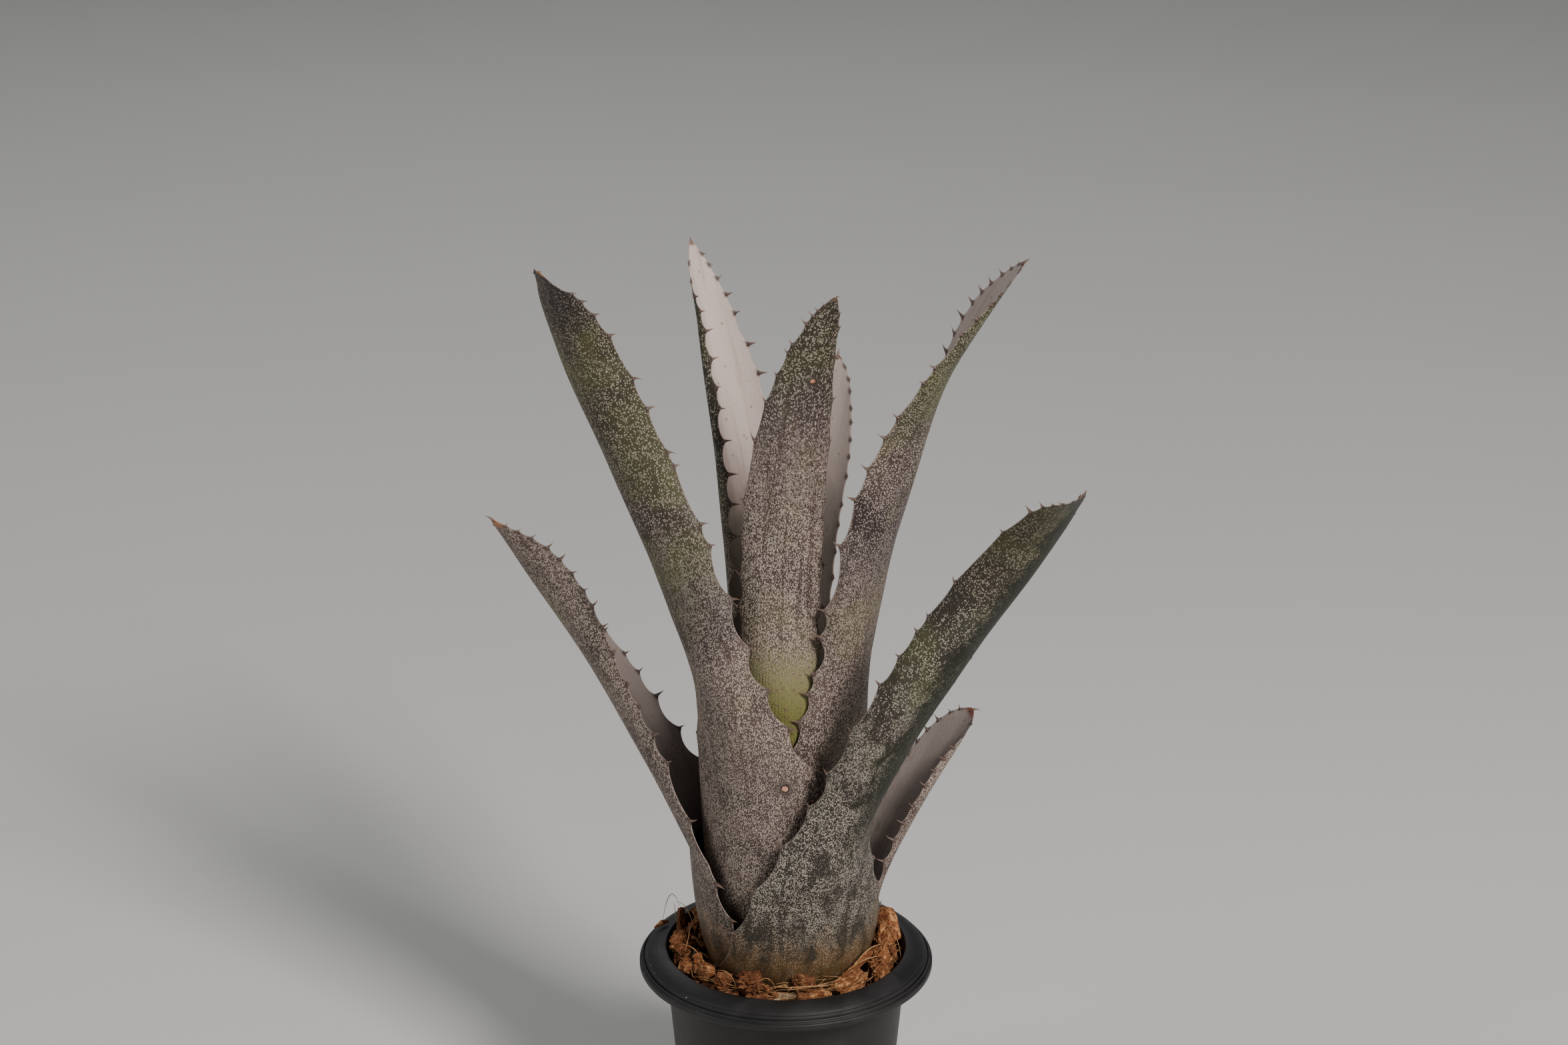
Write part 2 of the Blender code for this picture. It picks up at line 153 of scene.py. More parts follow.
class Shader:
    """One material, written as expressions on its sockets."""

    def __init__(self, name: str) -> None:
        """Start an empty material with one Principled shader.

        Args:
            name: the material's name.
        """
        self.material = bpy.data.materials.new(name)
        self.material.use_nodes = True
        self.tree = self.material.node_tree
        self.surface = self.tree.nodes["Principled BSDF"]

    def node(
        self,
        kind: str,
        settings: dict[str, object] | None = None,
        inputs: dict[str | int, object] | None = None,
    ) -> bpy.types.Node:
        """Add any node.

        Args:
            kind: the node's type, without "ShaderNode".
            settings: its properties, set first.
            inputs: values, colours or wires for its sockets, by name or number.

        Returns:
            The new node.
        """
        made = self.tree.nodes.new(f"ShaderNode{kind}")
        for key, value in (settings or {}).items():
            setattr(made, key, value)
        for key, value in (inputs or {}).items():
            self.feed(made.inputs[key], value)
        return made

    def feed(self, socket: bpy.types.NodeSocket, value: object) -> None:
        """Link a wire to a socket, or set the socket's own value.

        Args:
            socket: the input socket.
            value: a wire, a colour, a vector or a number.
        """
        if isinstance(value, Wire):
            self.tree.links.new(value.socket, socket)
        elif isinstance(value, tuple) and socket.type == "RGBA":
            socket.default_value = (*value, 1.0)
        else:
            socket.default_value = value

    def stored(self, name: str) -> Wire:
        """A number stored on the mesh's points."""
        return Wire(self, self.node("Attribute", {"attribute_name": name}).outputs["Fac"])

    def place(self) -> Wire:
        """The point on the piece, in metres."""
        return Wire(self, self.node("TexCoord").outputs["Object"])

    def point(self, x: Wire | float, y: Wire | float, z: Wire | float = 0.0) -> Wire:
        """A vector from three numbers."""
        return Wire(self, self.node("CombineXYZ", None, {0: x, 1: y, 2: z}).outputs[0])

    def scaled(self, at: Wire, by: Point) -> Wire:
        """A vector stretched by three factors."""
        made = self.node("VectorMath", {"operation": "MULTIPLY"}, {0: at, 1: by})
        return Wire(self, made.outputs["Vector"])

    def distance(self, at: Wire, to: Point) -> Wire:
        """How far a vector lies from a fixed point."""
        made = self.node("VectorMath", {"operation": "DISTANCE"}, {0: at, 1: to})
        return Wire(self, made.outputs["Value"])

    def clouds(self, at: Wire, scale: float, detail: float = 3.0, warp: float = 0.0) -> Wire:
        """Noise from 0 to 1.

        Args:
            at: where it is read.
            scale: cells for each unit.
            detail: octaves of finer noise.
            warp: how strongly the pattern is bent by itself.

        Returns:
            The noise.
        """
        inputs = {"Vector": at, "Scale": scale, "Detail": detail, "Distortion": warp}
        return Wire(self, self.node("TexNoise", None, inputs).outputs["Fac"])

    def cells(self, at: Wire, scale: float, scatter: float = 1.0) -> Wire:
        """Scattered cells: distance from the nearest cell's middle.

        Args:
            at: where they are read.
            scale: cells for each unit.
            scatter: 0 for a square grid, 1 for fully scattered.

        Returns:
            The distance.
        """
        inputs = {"Vector": at, "Scale": scale, "Randomness": scatter}
        return Wire(self, self.node("TexVoronoi", None, inputs).outputs["Distance"])

    def blend(self, share: Wire | float, first: object, second: object) -> Wire:
        """Mix two colours.

        Args:
            share: how much of the second.
            first: a colour or a wire.
            second: a colour or a wire.

        Returns:
            The mixed colour.
        """
        made = self.node("Mix", {"data_type": "RGBA"}, {0: share, 6: first, 7: second})
        return Wire(self, made.outputs[2])

    def bump(self, height: Wire, depth: float, under: Wire | None = None) -> Wire:
        """A Bump node.

        Args:
            height: 0 to 1.
            depth: how high 1 stands, in metres.
            under: a coarser bump below this one.

        Returns:
            The normal.
        """
        inputs: dict[str | int, object] = {"Height": height, "Distance": depth, "Strength": 1.0}
        if under is not None:
            inputs["Normal"] = under
        return Wire(self, self.node("Bump", None, inputs).outputs["Normal"])

    def finish(self, **inputs: object) -> bpy.types.Material:
        """Feed the Principled shader.

        Args:
            inputs: values, colours or wires by socket, words joined by underscores.

        Returns:
            The finished material.
        """
        for key, value in inputs.items():
            self.feed(self.surface.inputs[key.replace("_", " ").title().replace("Ior", "IOR")], value)
        return self.material


# ------------------------------------------------------------ finishes


class Tone(Enum):
    """Colours that a stretch of leaf can have on its outside: the tissue's, then the scales'."""

    SOOTY = ((0.020, 0.015, 0.013), (0.20, 0.170, 0.148))
    OLIVE = ((0.052, 0.048, 0.022), (0.290, 0.264, 0.195))
    PLUM = ((0.040, 0.026, 0.025), (0.31, 0.255, 0.235))
    ROSY = ((0.088, 0.060, 0.050), (0.45, 0.370, 0.315))
    GREY = ((0.040, 0.038, 0.026), (0.33, 0.305, 0.240))
    SILVER = ((0.038, 0.032, 0.025), (0.44, 0.392, 0.325))


class Tint:
    """Colours that every leaf can show beside its tones."""

    YOUNG_SCALES = (0.29, 0.285, 0.155)
    DEEP_TISSUE = (0.024, 0.014, 0.013)
    WORN_SCALES = (0.30, 0.235, 0.205)
    MARGIN = (0.40, 0.31, 0.27)
    SPINE_FOOT = (0.060, 0.038, 0.034)
    YOUNG_GREEN = (0.165, 0.168, 0.032)
    OLD_GREEN = (0.26, 0.235, 0.120)
    GREEN_RIB = (0.16, 0.17, 0.05)
    BRUISE = (0.13, 0.07, 0.035)
    FILM = (0.030, 0.024, 0.014)
    TANNIN = (0.150, 0.080, 0.024)
    WET_FOOT = (0.054, 0.025, 0.013)
    THIN_POWDER = (0.50, 0.40, 0.37)
    BARE_BAND = (0.42, 0.32, 0.29)
    STAINED_POWDER = (0.30, 0.25, 0.21)
    BROWN_SPOT = (0.20, 0.12, 0.08)
    SCAR_HALO = (0.05, 0.04, 0.03)
    SCAR_RING = (0.035, 0.022, 0.015)


@dataclass(frozen=True)
class Stretch:
    """A stretch of the outside in one tone, up to so many millimetres from the tip."""

    tone: Tone
    until: float


@dataclass(frozen=True)
class Scar:
    """A round blemish on a leaf's outside, in millimetres from its middle and its base."""

    across: float
    along: float
    radius: float
    pale: Colour = (0.50, 0.40, 0.30)


@dataclass(frozen=True)
class LeafFinish:
    """Scurfy leaf: pale scales in fine rows over dark green and purple, powdery inside."""

    name: str
    seed: float
    cover: float = 0.50  # how much of the outside the scales hide
    fine_below: float = 190.0  # height above the bed under which the scales are fine and in rows
    green: float = 0.5  # share of fresh green under them
    blotches: float = 0.35  # how bare the bare patches are
    stretches: tuple[Stretch, ...] = ()  # tones from the tip down, then the base's
    base: Tone = Tone.ROSY
    dark_and_shaded_side: float = 99.0  # millimetres to the right of the middle beyond which it is bare and dark: dark tissue under painted shade
    rib: float = 0.85  # spacing of the lengthwise ribs, in millimetres
    pale_base: float = 0.0  # height above the bed below which the outside is pale green
    tip_colour: Colour = (0.16, 0.07, 0.045)
    tip_length: float = 2.2
    inner_light: float = 1.0  # 1 for a powdery inside, less for painted shade over it
    shade_well: tuple[float, float] = (175.0, 70.0)  # heights above the bed between which painted shade darkens the inside
    scars: tuple[Scar, ...] = ()
    fresh: Colour = (0.095, 0.098, 0.024)
    # colour of that right side: dark bare tissue with painted shade over it
    bare_tissue_and_shade: Colour = (0.011, 0.013, 0.007)
    powder: Colour = (0.58, 0.485, 0.45)
    # colour of the painted shade low in the well
    well_shade: Colour = (0.050, 0.044, 0.028)
    # colour of that painted shade over the inside
    shaded_inside: Colour = (0.075, 0.062, 0.055)

    def material(self) -> bpy.types.Material:
        """Build the finish.

        Returns:
            The material.
        """
        s = Shader(f"leaf_{self.name}")
        across, along = s.stored("across"), s.stored("along")
        height, inner = s.stored("height"), s.stored("inner")
        flat = s.point(across, along, self.seed)
        broad = s.clouds(flat, 0.040, 2.0)
        zones = s.clouds(s.scaled(flat, (1.0, 0.7, 1.0)), 0.055, 2.0)
        patches = s.clouds(s.scaled(flat, (1.0, 0.55, 1.0)), 0.17, 5.0, 0.5)
        mottle = s.clouds(flat, 0.60, 3.0)
        streaks = s.clouds(s.scaled(flat, (1.0, 0.035, 1.0)), 0.50, 2.0)

        tissue, tone = self.base.value
        from_tip = s.stored("tip") + (patches - 0.5) * 34.0 + (mottle - 0.5) * 10.0
        for stretch in reversed(self.stretches):
            share = from_tip.rise(stretch.until + 13.0, stretch.until - 13.0)
            tissue = s.blend(share, tissue, stretch.tone.value[0])
            tone = s.blend(share, tone, stretch.tone.value[1])
        fresh = zones.rise(0.46, 0.66) * height.rise(90.0, 150.0) * self.green
        tissue = s.blend(fresh, tissue, self.fresh)
        tone = s.blend(fresh * 0.45, tone, Tint.YOUNG_SCALES)
        tissue = s.blend(broad.rise(0.55, 0.42) * 0.5, tissue, Tint.DEEP_TISSUE)
        tone = s.blend((broad * 0.5 + mottle * 0.5).rise(0.55, 0.38) * 0.45, tone, Tint.WORN_SCALES)
        scaly, ribs = self.scales(s, flat, patches, mottle, streaks)
        outside = s.blend(scaly, tissue, tone)
        wandering = across + (patches - 0.5) * 16.0 + (mottle - 0.5) * 7.0
        # painted shade, partly dark pigment: the right side turns bare and near black
        dark = wandering.rise(self.dark_and_shaded_side - 3.0, self.dark_and_shaded_side + 3.0) * height.rise(62.0, 92.0)
        outside = s.blend(dark * (0.72 + 0.26 * (1.0 - scaly)), outside, self.bare_tissue_and_shade)

        if self.pale_base:
            outside = self.young_base(s, outside, height, mottle, ribs)
        outside = self.foot(s, outside, height, patches, mottle)
        for scar in self.scars:
            outside = self.scarred(s, flat, outside, scar)
        colour = s.blend(inner, outside, self.inside(s, flat, patches, height))

        edge, cusp = s.stored("edge"), s.stored("cusp")
        colour = s.blend(edge.rise(0.42, 0.10) * 0.45, colour, Tint.MARGIN)
        colour = s.blend(cusp.rise(0.15, 0.75) * 0.85, colour, Tint.SPINE_FOOT)
        end = (s.stored("tip") + (mottle - 0.5) * 2.0).rise(self.tip_length, self.tip_length * 0.3)
        colour = s.blend(end * 0.92, colour, self.tip_colour)

        relief = scaly * 0.55 + ribs * 0.25 + mottle * 0.5
        normal = s.bump(relief * (1.0 - inner * 0.6), 0.00020)
        rough = 0.56 + 0.34 * scaly.most(inner)
        return s.finish(base_color=colour, roughness=rough, normal=normal, specular_ior_level=0.30)

    def scales(self, s: Shader, flat: Wire, patches: Wire, mottle: Wire, streaks: Wire) -> tuple[Wire, Wire]:
        """Where scales hide the tissue: single dots near the tip, a fine weave lower down.

        Args:
            s: the leaf's shader.
            flat: the place on the leaf, in millimetres.
            patches: noise whose high parts are bare.
            mottle: finer noise that thins the scales.
            streaks: lengthwise noise whose high parts are bare.

        Returns:
            The cover from 0 to 1, and the ribs.
        """
        height = s.stored("height")
        wander = (patches - 0.5) * 60.0
        lower = (height + wander).rise(self.fine_below + 30.0, self.fine_below - 45.0)
        dots = s.cells(s.scaled(flat, (1.0, 0.85, 1.0)), 1.36, 0.85)
        weave = s.cells(s.scaled(flat, (1.15, 0.85, 1.0)), 1.70, 0.75)
        reach = 0.26 + 0.26 * self.cover + (mottle - 0.5) * 0.30
        bare = patches.rise(0.50, 0.70) * self.blotches + streaks.rise(0.60, 0.68) * 0.35
        reach = reach - bare * 0.34
        single = (dots - reach).rise(0.12, -0.10)
        woven = (weave - reach - 0.05).rise(0.14, -0.12)
        angle = s.stored("across") * (math.tau / self.rib)
        ribs = angle.sine() * 0.5 + 0.5
        scaly = single * (1.0 - lower) + woven * lower * (0.86 + 0.14 * ribs)
        return scaly, ribs

    def young_base(self, s: Shader, under: Wire, height: Wire, mottle: Wire, ribs: Wire) -> Wire:
        """The part that other sheaths kept dark: ribbed, pale yellow-green, bruised here and there.

        Args:
            s: the leaf's shader.
            under: the colour so far.
            height: height above the bed, in millimetres.
            mottle: fine noise.
            ribs: the lengthwise ribs.

        Returns:
            The colour with the pale base.
        """
        grown = height.rise(self.pale_base - 22.0, self.pale_base)
        green = s.blend(grown, Tint.YOUNG_GREEN, Tint.OLD_GREEN)
        green = s.blend(ribs * 0.35, green, Tint.GREEN_RIB)
        green = s.blend(mottle.rise(0.56, 0.66) * 0.75, green, Tint.BRUISE)
        hidden = (height + (mottle - 0.5) * 14.0).rise(self.pale_base + 14.0, self.pale_base - 8.0)
        return s.blend(hidden * 0.86, under, green)

    @staticmethod
    def foot(s: Shader, under: Wire, height: Wire, patches: Wire, mottle: Wire) -> Wire:
        """Stains by the wet bed: black-green film, yellow-brown tannin and a dark foot.

        Args:
            s: the leaf's shader.
            under: the colour so far.
            height: height above the bed, in millimetres.
            patches: broad noise.
            mottle: fine noise.

        Returns:
            The stained colour.
        """
        low = height.rise(62.0, 18.0)
        film = (patches + mottle * 0.35).rise(0.58, 0.70) * low
        colour = s.blend(film * 0.66, under, Tint.FILM)
        stain = (height + (patches - 0.5) * 60.0).rise(38.0, 8.0)
        colour = s.blend(stain * 0.72, colour, Tint.TANNIN)
        foot = (height + (mottle - 0.5) * 14.0).rise(13.0, 3.0)
        return s.blend(foot * 0.80, colour, Tint.WET_FOOT)

    def inside(self, s: Shader, flat: Wire, patches: Wire, height: Wire) -> Wire:
        """The powdery inner side, with soft lengthwise bands, painted shade that darkens it lower in the
        well, and painted shade over all of it on shaded leaves.

        Args:
            s: the leaf's shader.
            flat: the place on the leaf, in millimetres.
            patches: broad noise.
            height: height above the bed, in millimetres.

        Returns:
            Its colour.
        """
        grain = s.clouds(flat, 2.6, 3.0)
        bands = s.clouds(s.scaled(flat, (1.0, 0.05, 1.0)), 0.42, 3.0)
        powder = s.blend(grain.rise(0.35, 0.7) * 0.35, self.powder, Tint.THIN_POWDER)
        powder = s.blend(bands.rise(0.48, 0.68) * 0.45, powder, Tint.BARE_BAND)
        powder = s.blend(patches.rise(0.62, 0.74) * 0.5, powder, Tint.STAINED_POWDER)
        spots = s.cells(s.scaled(flat, (1.0, 0.7, 1.0)), 0.22, 1.0).rise(0.13, 0.07)
        powder = s.blend(spots * 0.6, powder, Tint.BROWN_SPOT)
        # painted shade: the inside darkens lower down in the well
        powder = s.blend((height + (patches - 0.5) * 20.0).rise(*self.shade_well) * 0.85, powder, self.well_shade)
        # painted shade over the whole inside, as much as inner_light falls short of 1
        return s.blend(1.0 - self.inner_light, powder, self.shaded_inside)

    @staticmethod
    def scarred(s: Shader, flat: Wire, under: Wire, scar: Scar) -> Wire:
        """Lay one healed scar over a colour.

        Args:
            s: the leaf's shader.
            flat: the place on the leaf, in millimetres.
            under: the colour so far.
            scar: the blemish.

        Returns:
            The colour with a pale middle, a dark ring and a soft halo.
        """
        wobble = (s.clouds(flat, 0.9, 2.0) - 0.5) * scar.radius
        seed_free = s.scaled(flat, (1.0, 1.0, 0.0))
        away = s.distance(seed_free, (scar.across, scar.along, 0.0)) + wobble
        colour = s.blend(away.rise(scar.radius * 3.4, scar.radius * 1.2) * 0.55, under, Tint.SCAR_HALO)
        colour = s.blend(away.rise(scar.radius * 1.35, scar.radius), colour, Tint.SCAR_RING)
        return s.blend(away.rise(scar.radius * 0.85, scar.radius * 0.55), colour, scar.pale)


@dataclass(frozen=True)
class SpineFinish:
    """Horny margin spines: pink-brown at the foot, dark at the point."""

    foot: Colour = (0.075, 0.048, 0.040)
    point: Colour = (0.20, 0.12, 0.09)
    fleck: Colour = (0.30, 0.20, 0.14)

    def material(self) -> bpy.types.Material:
        """Build the finish.

        Returns:
            The material.
        """
        s = Shader("spine_horn")
        share = s.stored("reach")
        colour = s.blend(share.rise(0.15, 0.85), self.foot, self.point)
        colour = s.blend(s.clouds(s.place(), 900.0, 2.0) * 0.3, colour, self.fleck)
        return s.finish(base_color=colour, roughness=0.45)


@dataclass(frozen=True)
class HuskFinish:
    """Coconut husk: rust-brown pith with paler fibres along the grain."""

    dark: Colour = (0.085, 0.026, 0.010)
    middle: Colour = (0.40, 0.155, 0.060)
    light: Colour = (0.74, 0.40, 0.18)
    damp: Colour = (0.15, 0.050, 0.020)
    shaded: Colour = (0.12, 0.042, 0.019)

    def material(self) -> bpy.types.Material:
        """Build the finish.

        Returns:
            The material.
        """
        s = Shader("husk_rust")
        at = s.place()
        along = s.point(s.stored("grain") * 160.0, s.stored("ring") * 1900.0, s.stored("shade") * 7.0)
        fibres = s.clouds(along, 1.0, 5.0, 0.6)
        pith = s.clouds(at, 520.0, 5.0)
        pits = s.cells(at, 900.0, 1.0)
        colour = s.blend(fibres.rise(0.35, 0.62), self.dark, self.middle)
        colour = s.blend(pith.rise(0.46, 0.68) * 0.85, colour, self.light)
        colour = s.blend(s.clouds(at, 130.0, 2.0).rise(0.54, 0.40) * 0.55, colour, self.damp)
        colour = s.blend(pits.rise(0.32, 0.12) * 0.55, colour, self.dark)
        tone = s.stored("shade").rise(0.0, 1.0)
        colour = s.blend((1.0 - tone) * 0.75, colour, self.shaded)
        normal = s.bump(fibres * 0.9 + pith * 0.7, 0.0011)
        return s.finish(base_color=colour, roughness=0.92, normal=normal, specular_ior_level=0.2)


@dataclass(frozen=True)
class PlainGrainFinish:
    """A matt grainy finish in two tones, for pumice, bark, fibres, the stem and the bed."""

    name: str
    light: Colour
    dark: Colour
    scale: float = 600.0
    depth: float = 0.0004

    def material(self) -> bpy.types.Material:
        """Build the finish.

        Returns:
            The material.
        """
        s = Shader(self.name)
        at = s.place()
        grain = s.clouds(at, self.scale, 4.0, 0.3)
        colour = s.blend(grain.rise(0.32, 0.68), self.dark, self.light)
        normal = s.bump(grain, self.depth)
        return s.finish(base_color=colour, roughness=0.9, normal=normal, specular_ior_level=0.25)


@dataclass(frozen=True)
class PotFinish:
    """Black moulded plastic with fine turning marks, haze and dust."""

    black: Colour = (0.009, 0.0085, 0.009)
    haze: Colour = (0.028, 0.026, 0.027)
    dust: Colour = (0.42, 0.38, 0.34)

    def material(self) -> bpy.types.Material:
        """Build the finish.

        Returns:
            The material.
        """
        s = Shader("pot_black_plastic")
        at = s.place()
        out, down = s.stored("out"), s.stored("down")
        turned = s.clouds(s.point(out * 2600.0, down * 2600.0, s.clouds(at, 14.0) * 2.0), 1.0, 2.0)
        scuffs = s.clouds(s.scaled(at, (1.0, 1.0, 2.4)), 55.0, 5.0, 0.8)
        pebble = s.clouds(at, 2600.0, 3.0)
        colour = s.blend(scuffs.rise(0.45, 0.75) * 0.55, self.black, self.haze)
        specks = s.cells(at, 210.0, 1.0)
        kept = s.clouds(at, 36.0, 2.0).rise(0.52, 0.66)
        dusty = specks.rise(0.10, 0.05) * kept
        colour = s.blend(dusty, colour, self.dust)
        rough = 0.36 + 0.16 * scuffs + 0.10 * pebble + dusty * 0.3
        under = s.bump(turned, 0.00010)
        normal = s.bump(pebble, 0.00006, under)
        return s.finish(base_color=colour, roughness=rough, normal=normal, specular_ior_level=0.42)


# ------------------------------------------------------------ mesh helpers


def new_piece(
    name: str,
    points: np.ndarray,
    faces: list[tuple[int, ...]],
    finish: bpy.types.Material,
    numbers: dict[str, np.ndarray] | None = None,
) -> bpy.types.Object:
    """Make a smooth mesh piece.

    Args:
        name: the piece's name.
        points: its corners, in metres.
        faces: corner numbers of each face, facing out.
        finish: its material.
        numbers: values stored on the corners for the material to read.

    Returns:
        The piece.
    """
    mesh = bpy.data.meshes.new(name)
    mesh.from_pydata([tuple(map(float, p)) for p in points], [], faces)
    dress(mesh, finish, numbers or {})
    made = bpy.data.objects.new(name, mesh)
    bpy.context.scene.collection.objects.link(made)
    return made


def dress(mesh: bpy.types.Mesh, finish: bpy.types.Material, numbers: dict[str, np.ndarray]) -> None:
    """Give a mesh its material, smooth shading and the numbers that the material reads.

    Args:
        mesh: the mesh.
        finish: its only material.
        numbers: a value for each corner, by name.
    """
    for key, values in numbers.items():
        layer = mesh.attributes.new(key, "FLOAT", "POINT")
        layer.data.foreach_set("value", np.ascontiguousarray(values, np.float32).ravel())
    mesh.materials.clear()
    mesh.materials.append(finish)
    mesh.shade_smooth()


def apply_modifiers(piece: bpy.types.Object) -> None:
    """Replace a piece's mesh by what its modifiers make of it.

    Args:
        piece: the piece.
    """
    graph = bpy.context.evaluated_depsgraph_get()
    graph.update()
    mesh = bpy.data.meshes.new_from_object(piece.evaluated_get(graph))
    piece.modifiers.clear()
    piece.data = mesh


def even_copy(node: str, name: str, voxel: float) -> bpy.types.Object:
    """Copy a CAD solid with an even, fine mesh.

    Args:
        node: the CAD node.
        name: the new piece's name.
        voxel: how fine the mesh is, in metres.

    Returns:
        The piece.
    """
    piece = bpy.data.objects.new(name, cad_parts[node].data.copy())
    bpy.context.scene.collection.objects.link(piece)
    remesh = piece.modifiers.new("even", "REMESH")
    remesh.mode = "VOXEL"
    remesh.voxel_size = voxel
    apply_modifiers(piece)
    return piece


def corner_rows(mesh: bpy.types.Mesh, key: str) -> np.ndarray:
    """One vector for each corner of a mesh.

    Args:
        mesh: the mesh.
        key: "co" for places, "normal" for normals.

    Returns:
        The vectors, row by row.
    """
    flat = np.empty(len(mesh.vertices) * 3)
    mesh.vertices.foreach_get(key, flat)
    return flat.reshape(-1, 3)


def settle(piece: bpy.types.Object, slot: Slot, *nodes: str) -> None:
    """Ride a piece on the plant's one body and hide the CAD nodes it stands for.

    Args:
        piece: the finished piece.
        slot: its material slot; not used.
        nodes: CAD nodes that it replaces.
    """
    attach(piece, "root")
    if nodes:
        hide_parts(*nodes)
    log.info("%s: %d faces", piece.name, len(piece.data.polygons))


def smoothstep(share: np.ndarray) -> np.ndarray:
    """0 to 1 with level ends."""
    share = np.clip(share, 0.0, 1.0)
    return share * share * (3 - 2 * share)


def unit(rows: np.ndarray) -> np.ndarray:
    """Vectors along the last axis scaled to length 1."""
    return rows / np.maximum(np.linalg.norm(rows, axis=-1, keepdims=True), 1e-12)


def tube(line: np.ndarray, radii: np.ndarray, sides: int) -> tuple[np.ndarray, list[tuple[int, ...]]]:
    """A closed tapered tube along a line.

    Args:
        line: its middle, point by point.
        radii: its radius at each point.
        sides: corners round it.

    Returns:
        The corners and the faces.
    """
    along = unit(np.gradient(line, axis=0))
    guide = np.array([0.0, 0.0, 1.0]) if abs(along[0][2]) < 0.8 else np.array([1.0, 0.0, 0.0])
    side = unit(np.cross(along, guide))
    up = np.cross(side, along)
    angles = np.linspace(0, math.tau, sides, endpoint=False)
    ring = side[:, None] * np.cos(angles)[None, :, None] + up[:, None] * np.sin(angles)[None, :, None]
    points = (line[:, None] + ring * radii[:, None, None]).reshape(-1, 3)
    faces: list[tuple[int, ...]] = []
    for k in range(len(line) - 1):
        for j in range(sides):
            a, b = k * sides + j, k * sides + (j + 1) % sides
            faces.append((a, b, b + sides, a + sides))
    last = (len(line) - 1) * sides
    faces.append(tuple(reversed(range(sides))))
    faces.append(tuple(range(last, last + sides)))
    return points, faces


def icosphere(levels: int) -> tuple[np.ndarray, list[tuple[int, ...]]]:
    """A unit ball, to be shaped into crumbs and lumps.

    Args:
        levels: how often its faces are divided.

    Returns:
        The corners and the faces.
    """
    shape = bmesh.new()
    bmesh.ops.create_icosphere(shape, subdivisions=levels, radius=1.0)
    corners = np.array([vertex.co for vertex in shape.verts])
    faces = [tuple(vertex.index for vertex in face.verts) for face in shape.faces]
    shape.free()
    return corners, faces


def turned(points: np.ndarray, rake: float, turn: float) -> np.ndarray:
    """Tilt points up along X, then turn them about the vertical.

    Args:
        points: the points, row by row.
        rake: how far X rises, in radians.
        turn: how far X turns towards Y, in radians.

    Returns:
        The turned points.
    """
    x = points[:, 0] * math.cos(rake) - points[:, 2] * math.sin(rake)
    y = points[:, 1]
    z = points[:, 0] * math.sin(rake) + points[:, 2] * math.cos(rake)
    cos, sin = math.cos(turn), math.sin(turn)
    return np.stack([x * cos - y * sin, x * sin + y * cos, z], axis=1)


def round_the_pot(angle: float, out: float, height: float) -> np.ndarray:
    """The point at an angle from the front, so far from the pot's axis and so high."""
    return np.array([out * math.sin(angle), -out * math.cos(angle), height])


def follow(line: np.ndarray, along: np.ndarray, where: np.ndarray) -> np.ndarray:
    """Points on a line.

    Args:
        line: the line's corners.
        along: the length along it at each corner.
        where: the lengths that are asked for.

    Returns:
        The points there.
    """
    return np.stack([np.interp(where, along, line[:, k]) for k in range(3)], axis=1)


class Cluster:
    """Many small closed shapes that make one mesh."""

    def __init__(self) -> None:
        """Start with none."""
        self.corners: list[np.ndarray] = []
        self.faces: list[tuple[int, ...]] = []
        self.numbers: dict[str, list[np.ndarray]] = {}
        self.count = 0

    def add(self, corners: np.ndarray, faces: list[tuple[int, ...]], **numbers: np.ndarray) -> None:
        """Add one shape.

        Args:
            corners: its corners.
            faces: its faces, by its own corner numbers.
            numbers: a value for each corner, by name.
        """
        self.corners.append(corners)
        self.faces += [tuple(self.count + k for k in face) for face in faces]
        for key, values in numbers.items():
            self.numbers.setdefault(key, []).append(values)
        self.count += len(corners)

    def piece(self, name: str, finish: bpy.types.Material) -> bpy.types.Object:
        """Make the mesh piece.

        Args:
            name: the piece's name.
            finish: its material.

        Returns:
            The piece.
        """
        numbers = {key: np.concatenate(values) for key, values in self.numbers.items()}
        return new_piece(name, np.concatenate(self.corners), self.faces, finish, numbers)


# ------------------------------------------------------------ leaves


@dataclass(frozen=True)
class Body:
    """The rosette's body, which every sheath wraps: the same values as the solid model's."""

    crown_radius: float = 0.0070
    swell: float = 0.0155
    swell_height: float = 0.0150
    swell_from: float = -0.0080
    flare: float = 0.045
    pitch: float = 0.0020
    youngest: int = 8

    def radius(self, above_bed: np.ndarray | float, rank: int) -> np.ndarray:
        """Where the middle of a sheath lies.

        Args:
            above_bed: heights above the bed.
            rank: the leaf's rank.

        Returns:
            Its distance from the axis at each height.
        """
        grown = 1 - np.exp(-(above_bed - self.swell_from) / self.swell_height)
        heart = self.crown_radius + self.swell * grown + self.flare * np.maximum(above_bed, 0)
        return heart + (self.youngest - rank) * self.pitch


@dataclass(frozen=True)
class Sheet:
    """A leaf's middle surface, in rows from its base and columns from its left margin."""

    points: np.ndarray  # in (out, side, up from the bed), like every place here
    face: np.ndarray  # direction that the inner side faces
    run: np.ndarray  # distance from the middle column along the surface
    half: np.ndarray  # half-width of the row on that side
    near: np.ndarray  # distance of the nearest spine along the margin
    across: np.ndarray  # each column's place, -1 at the left margin and 1 at the right
    stations: np.ndarray  # each row's place along the leaf
    middle: np.ndarray
    tangent: np.ndarray
    width: np.ndarray  # half-width before the scallops
    length: float
    teeth: dict[Edge, np.ndarray]  # the spines' places along the leaf


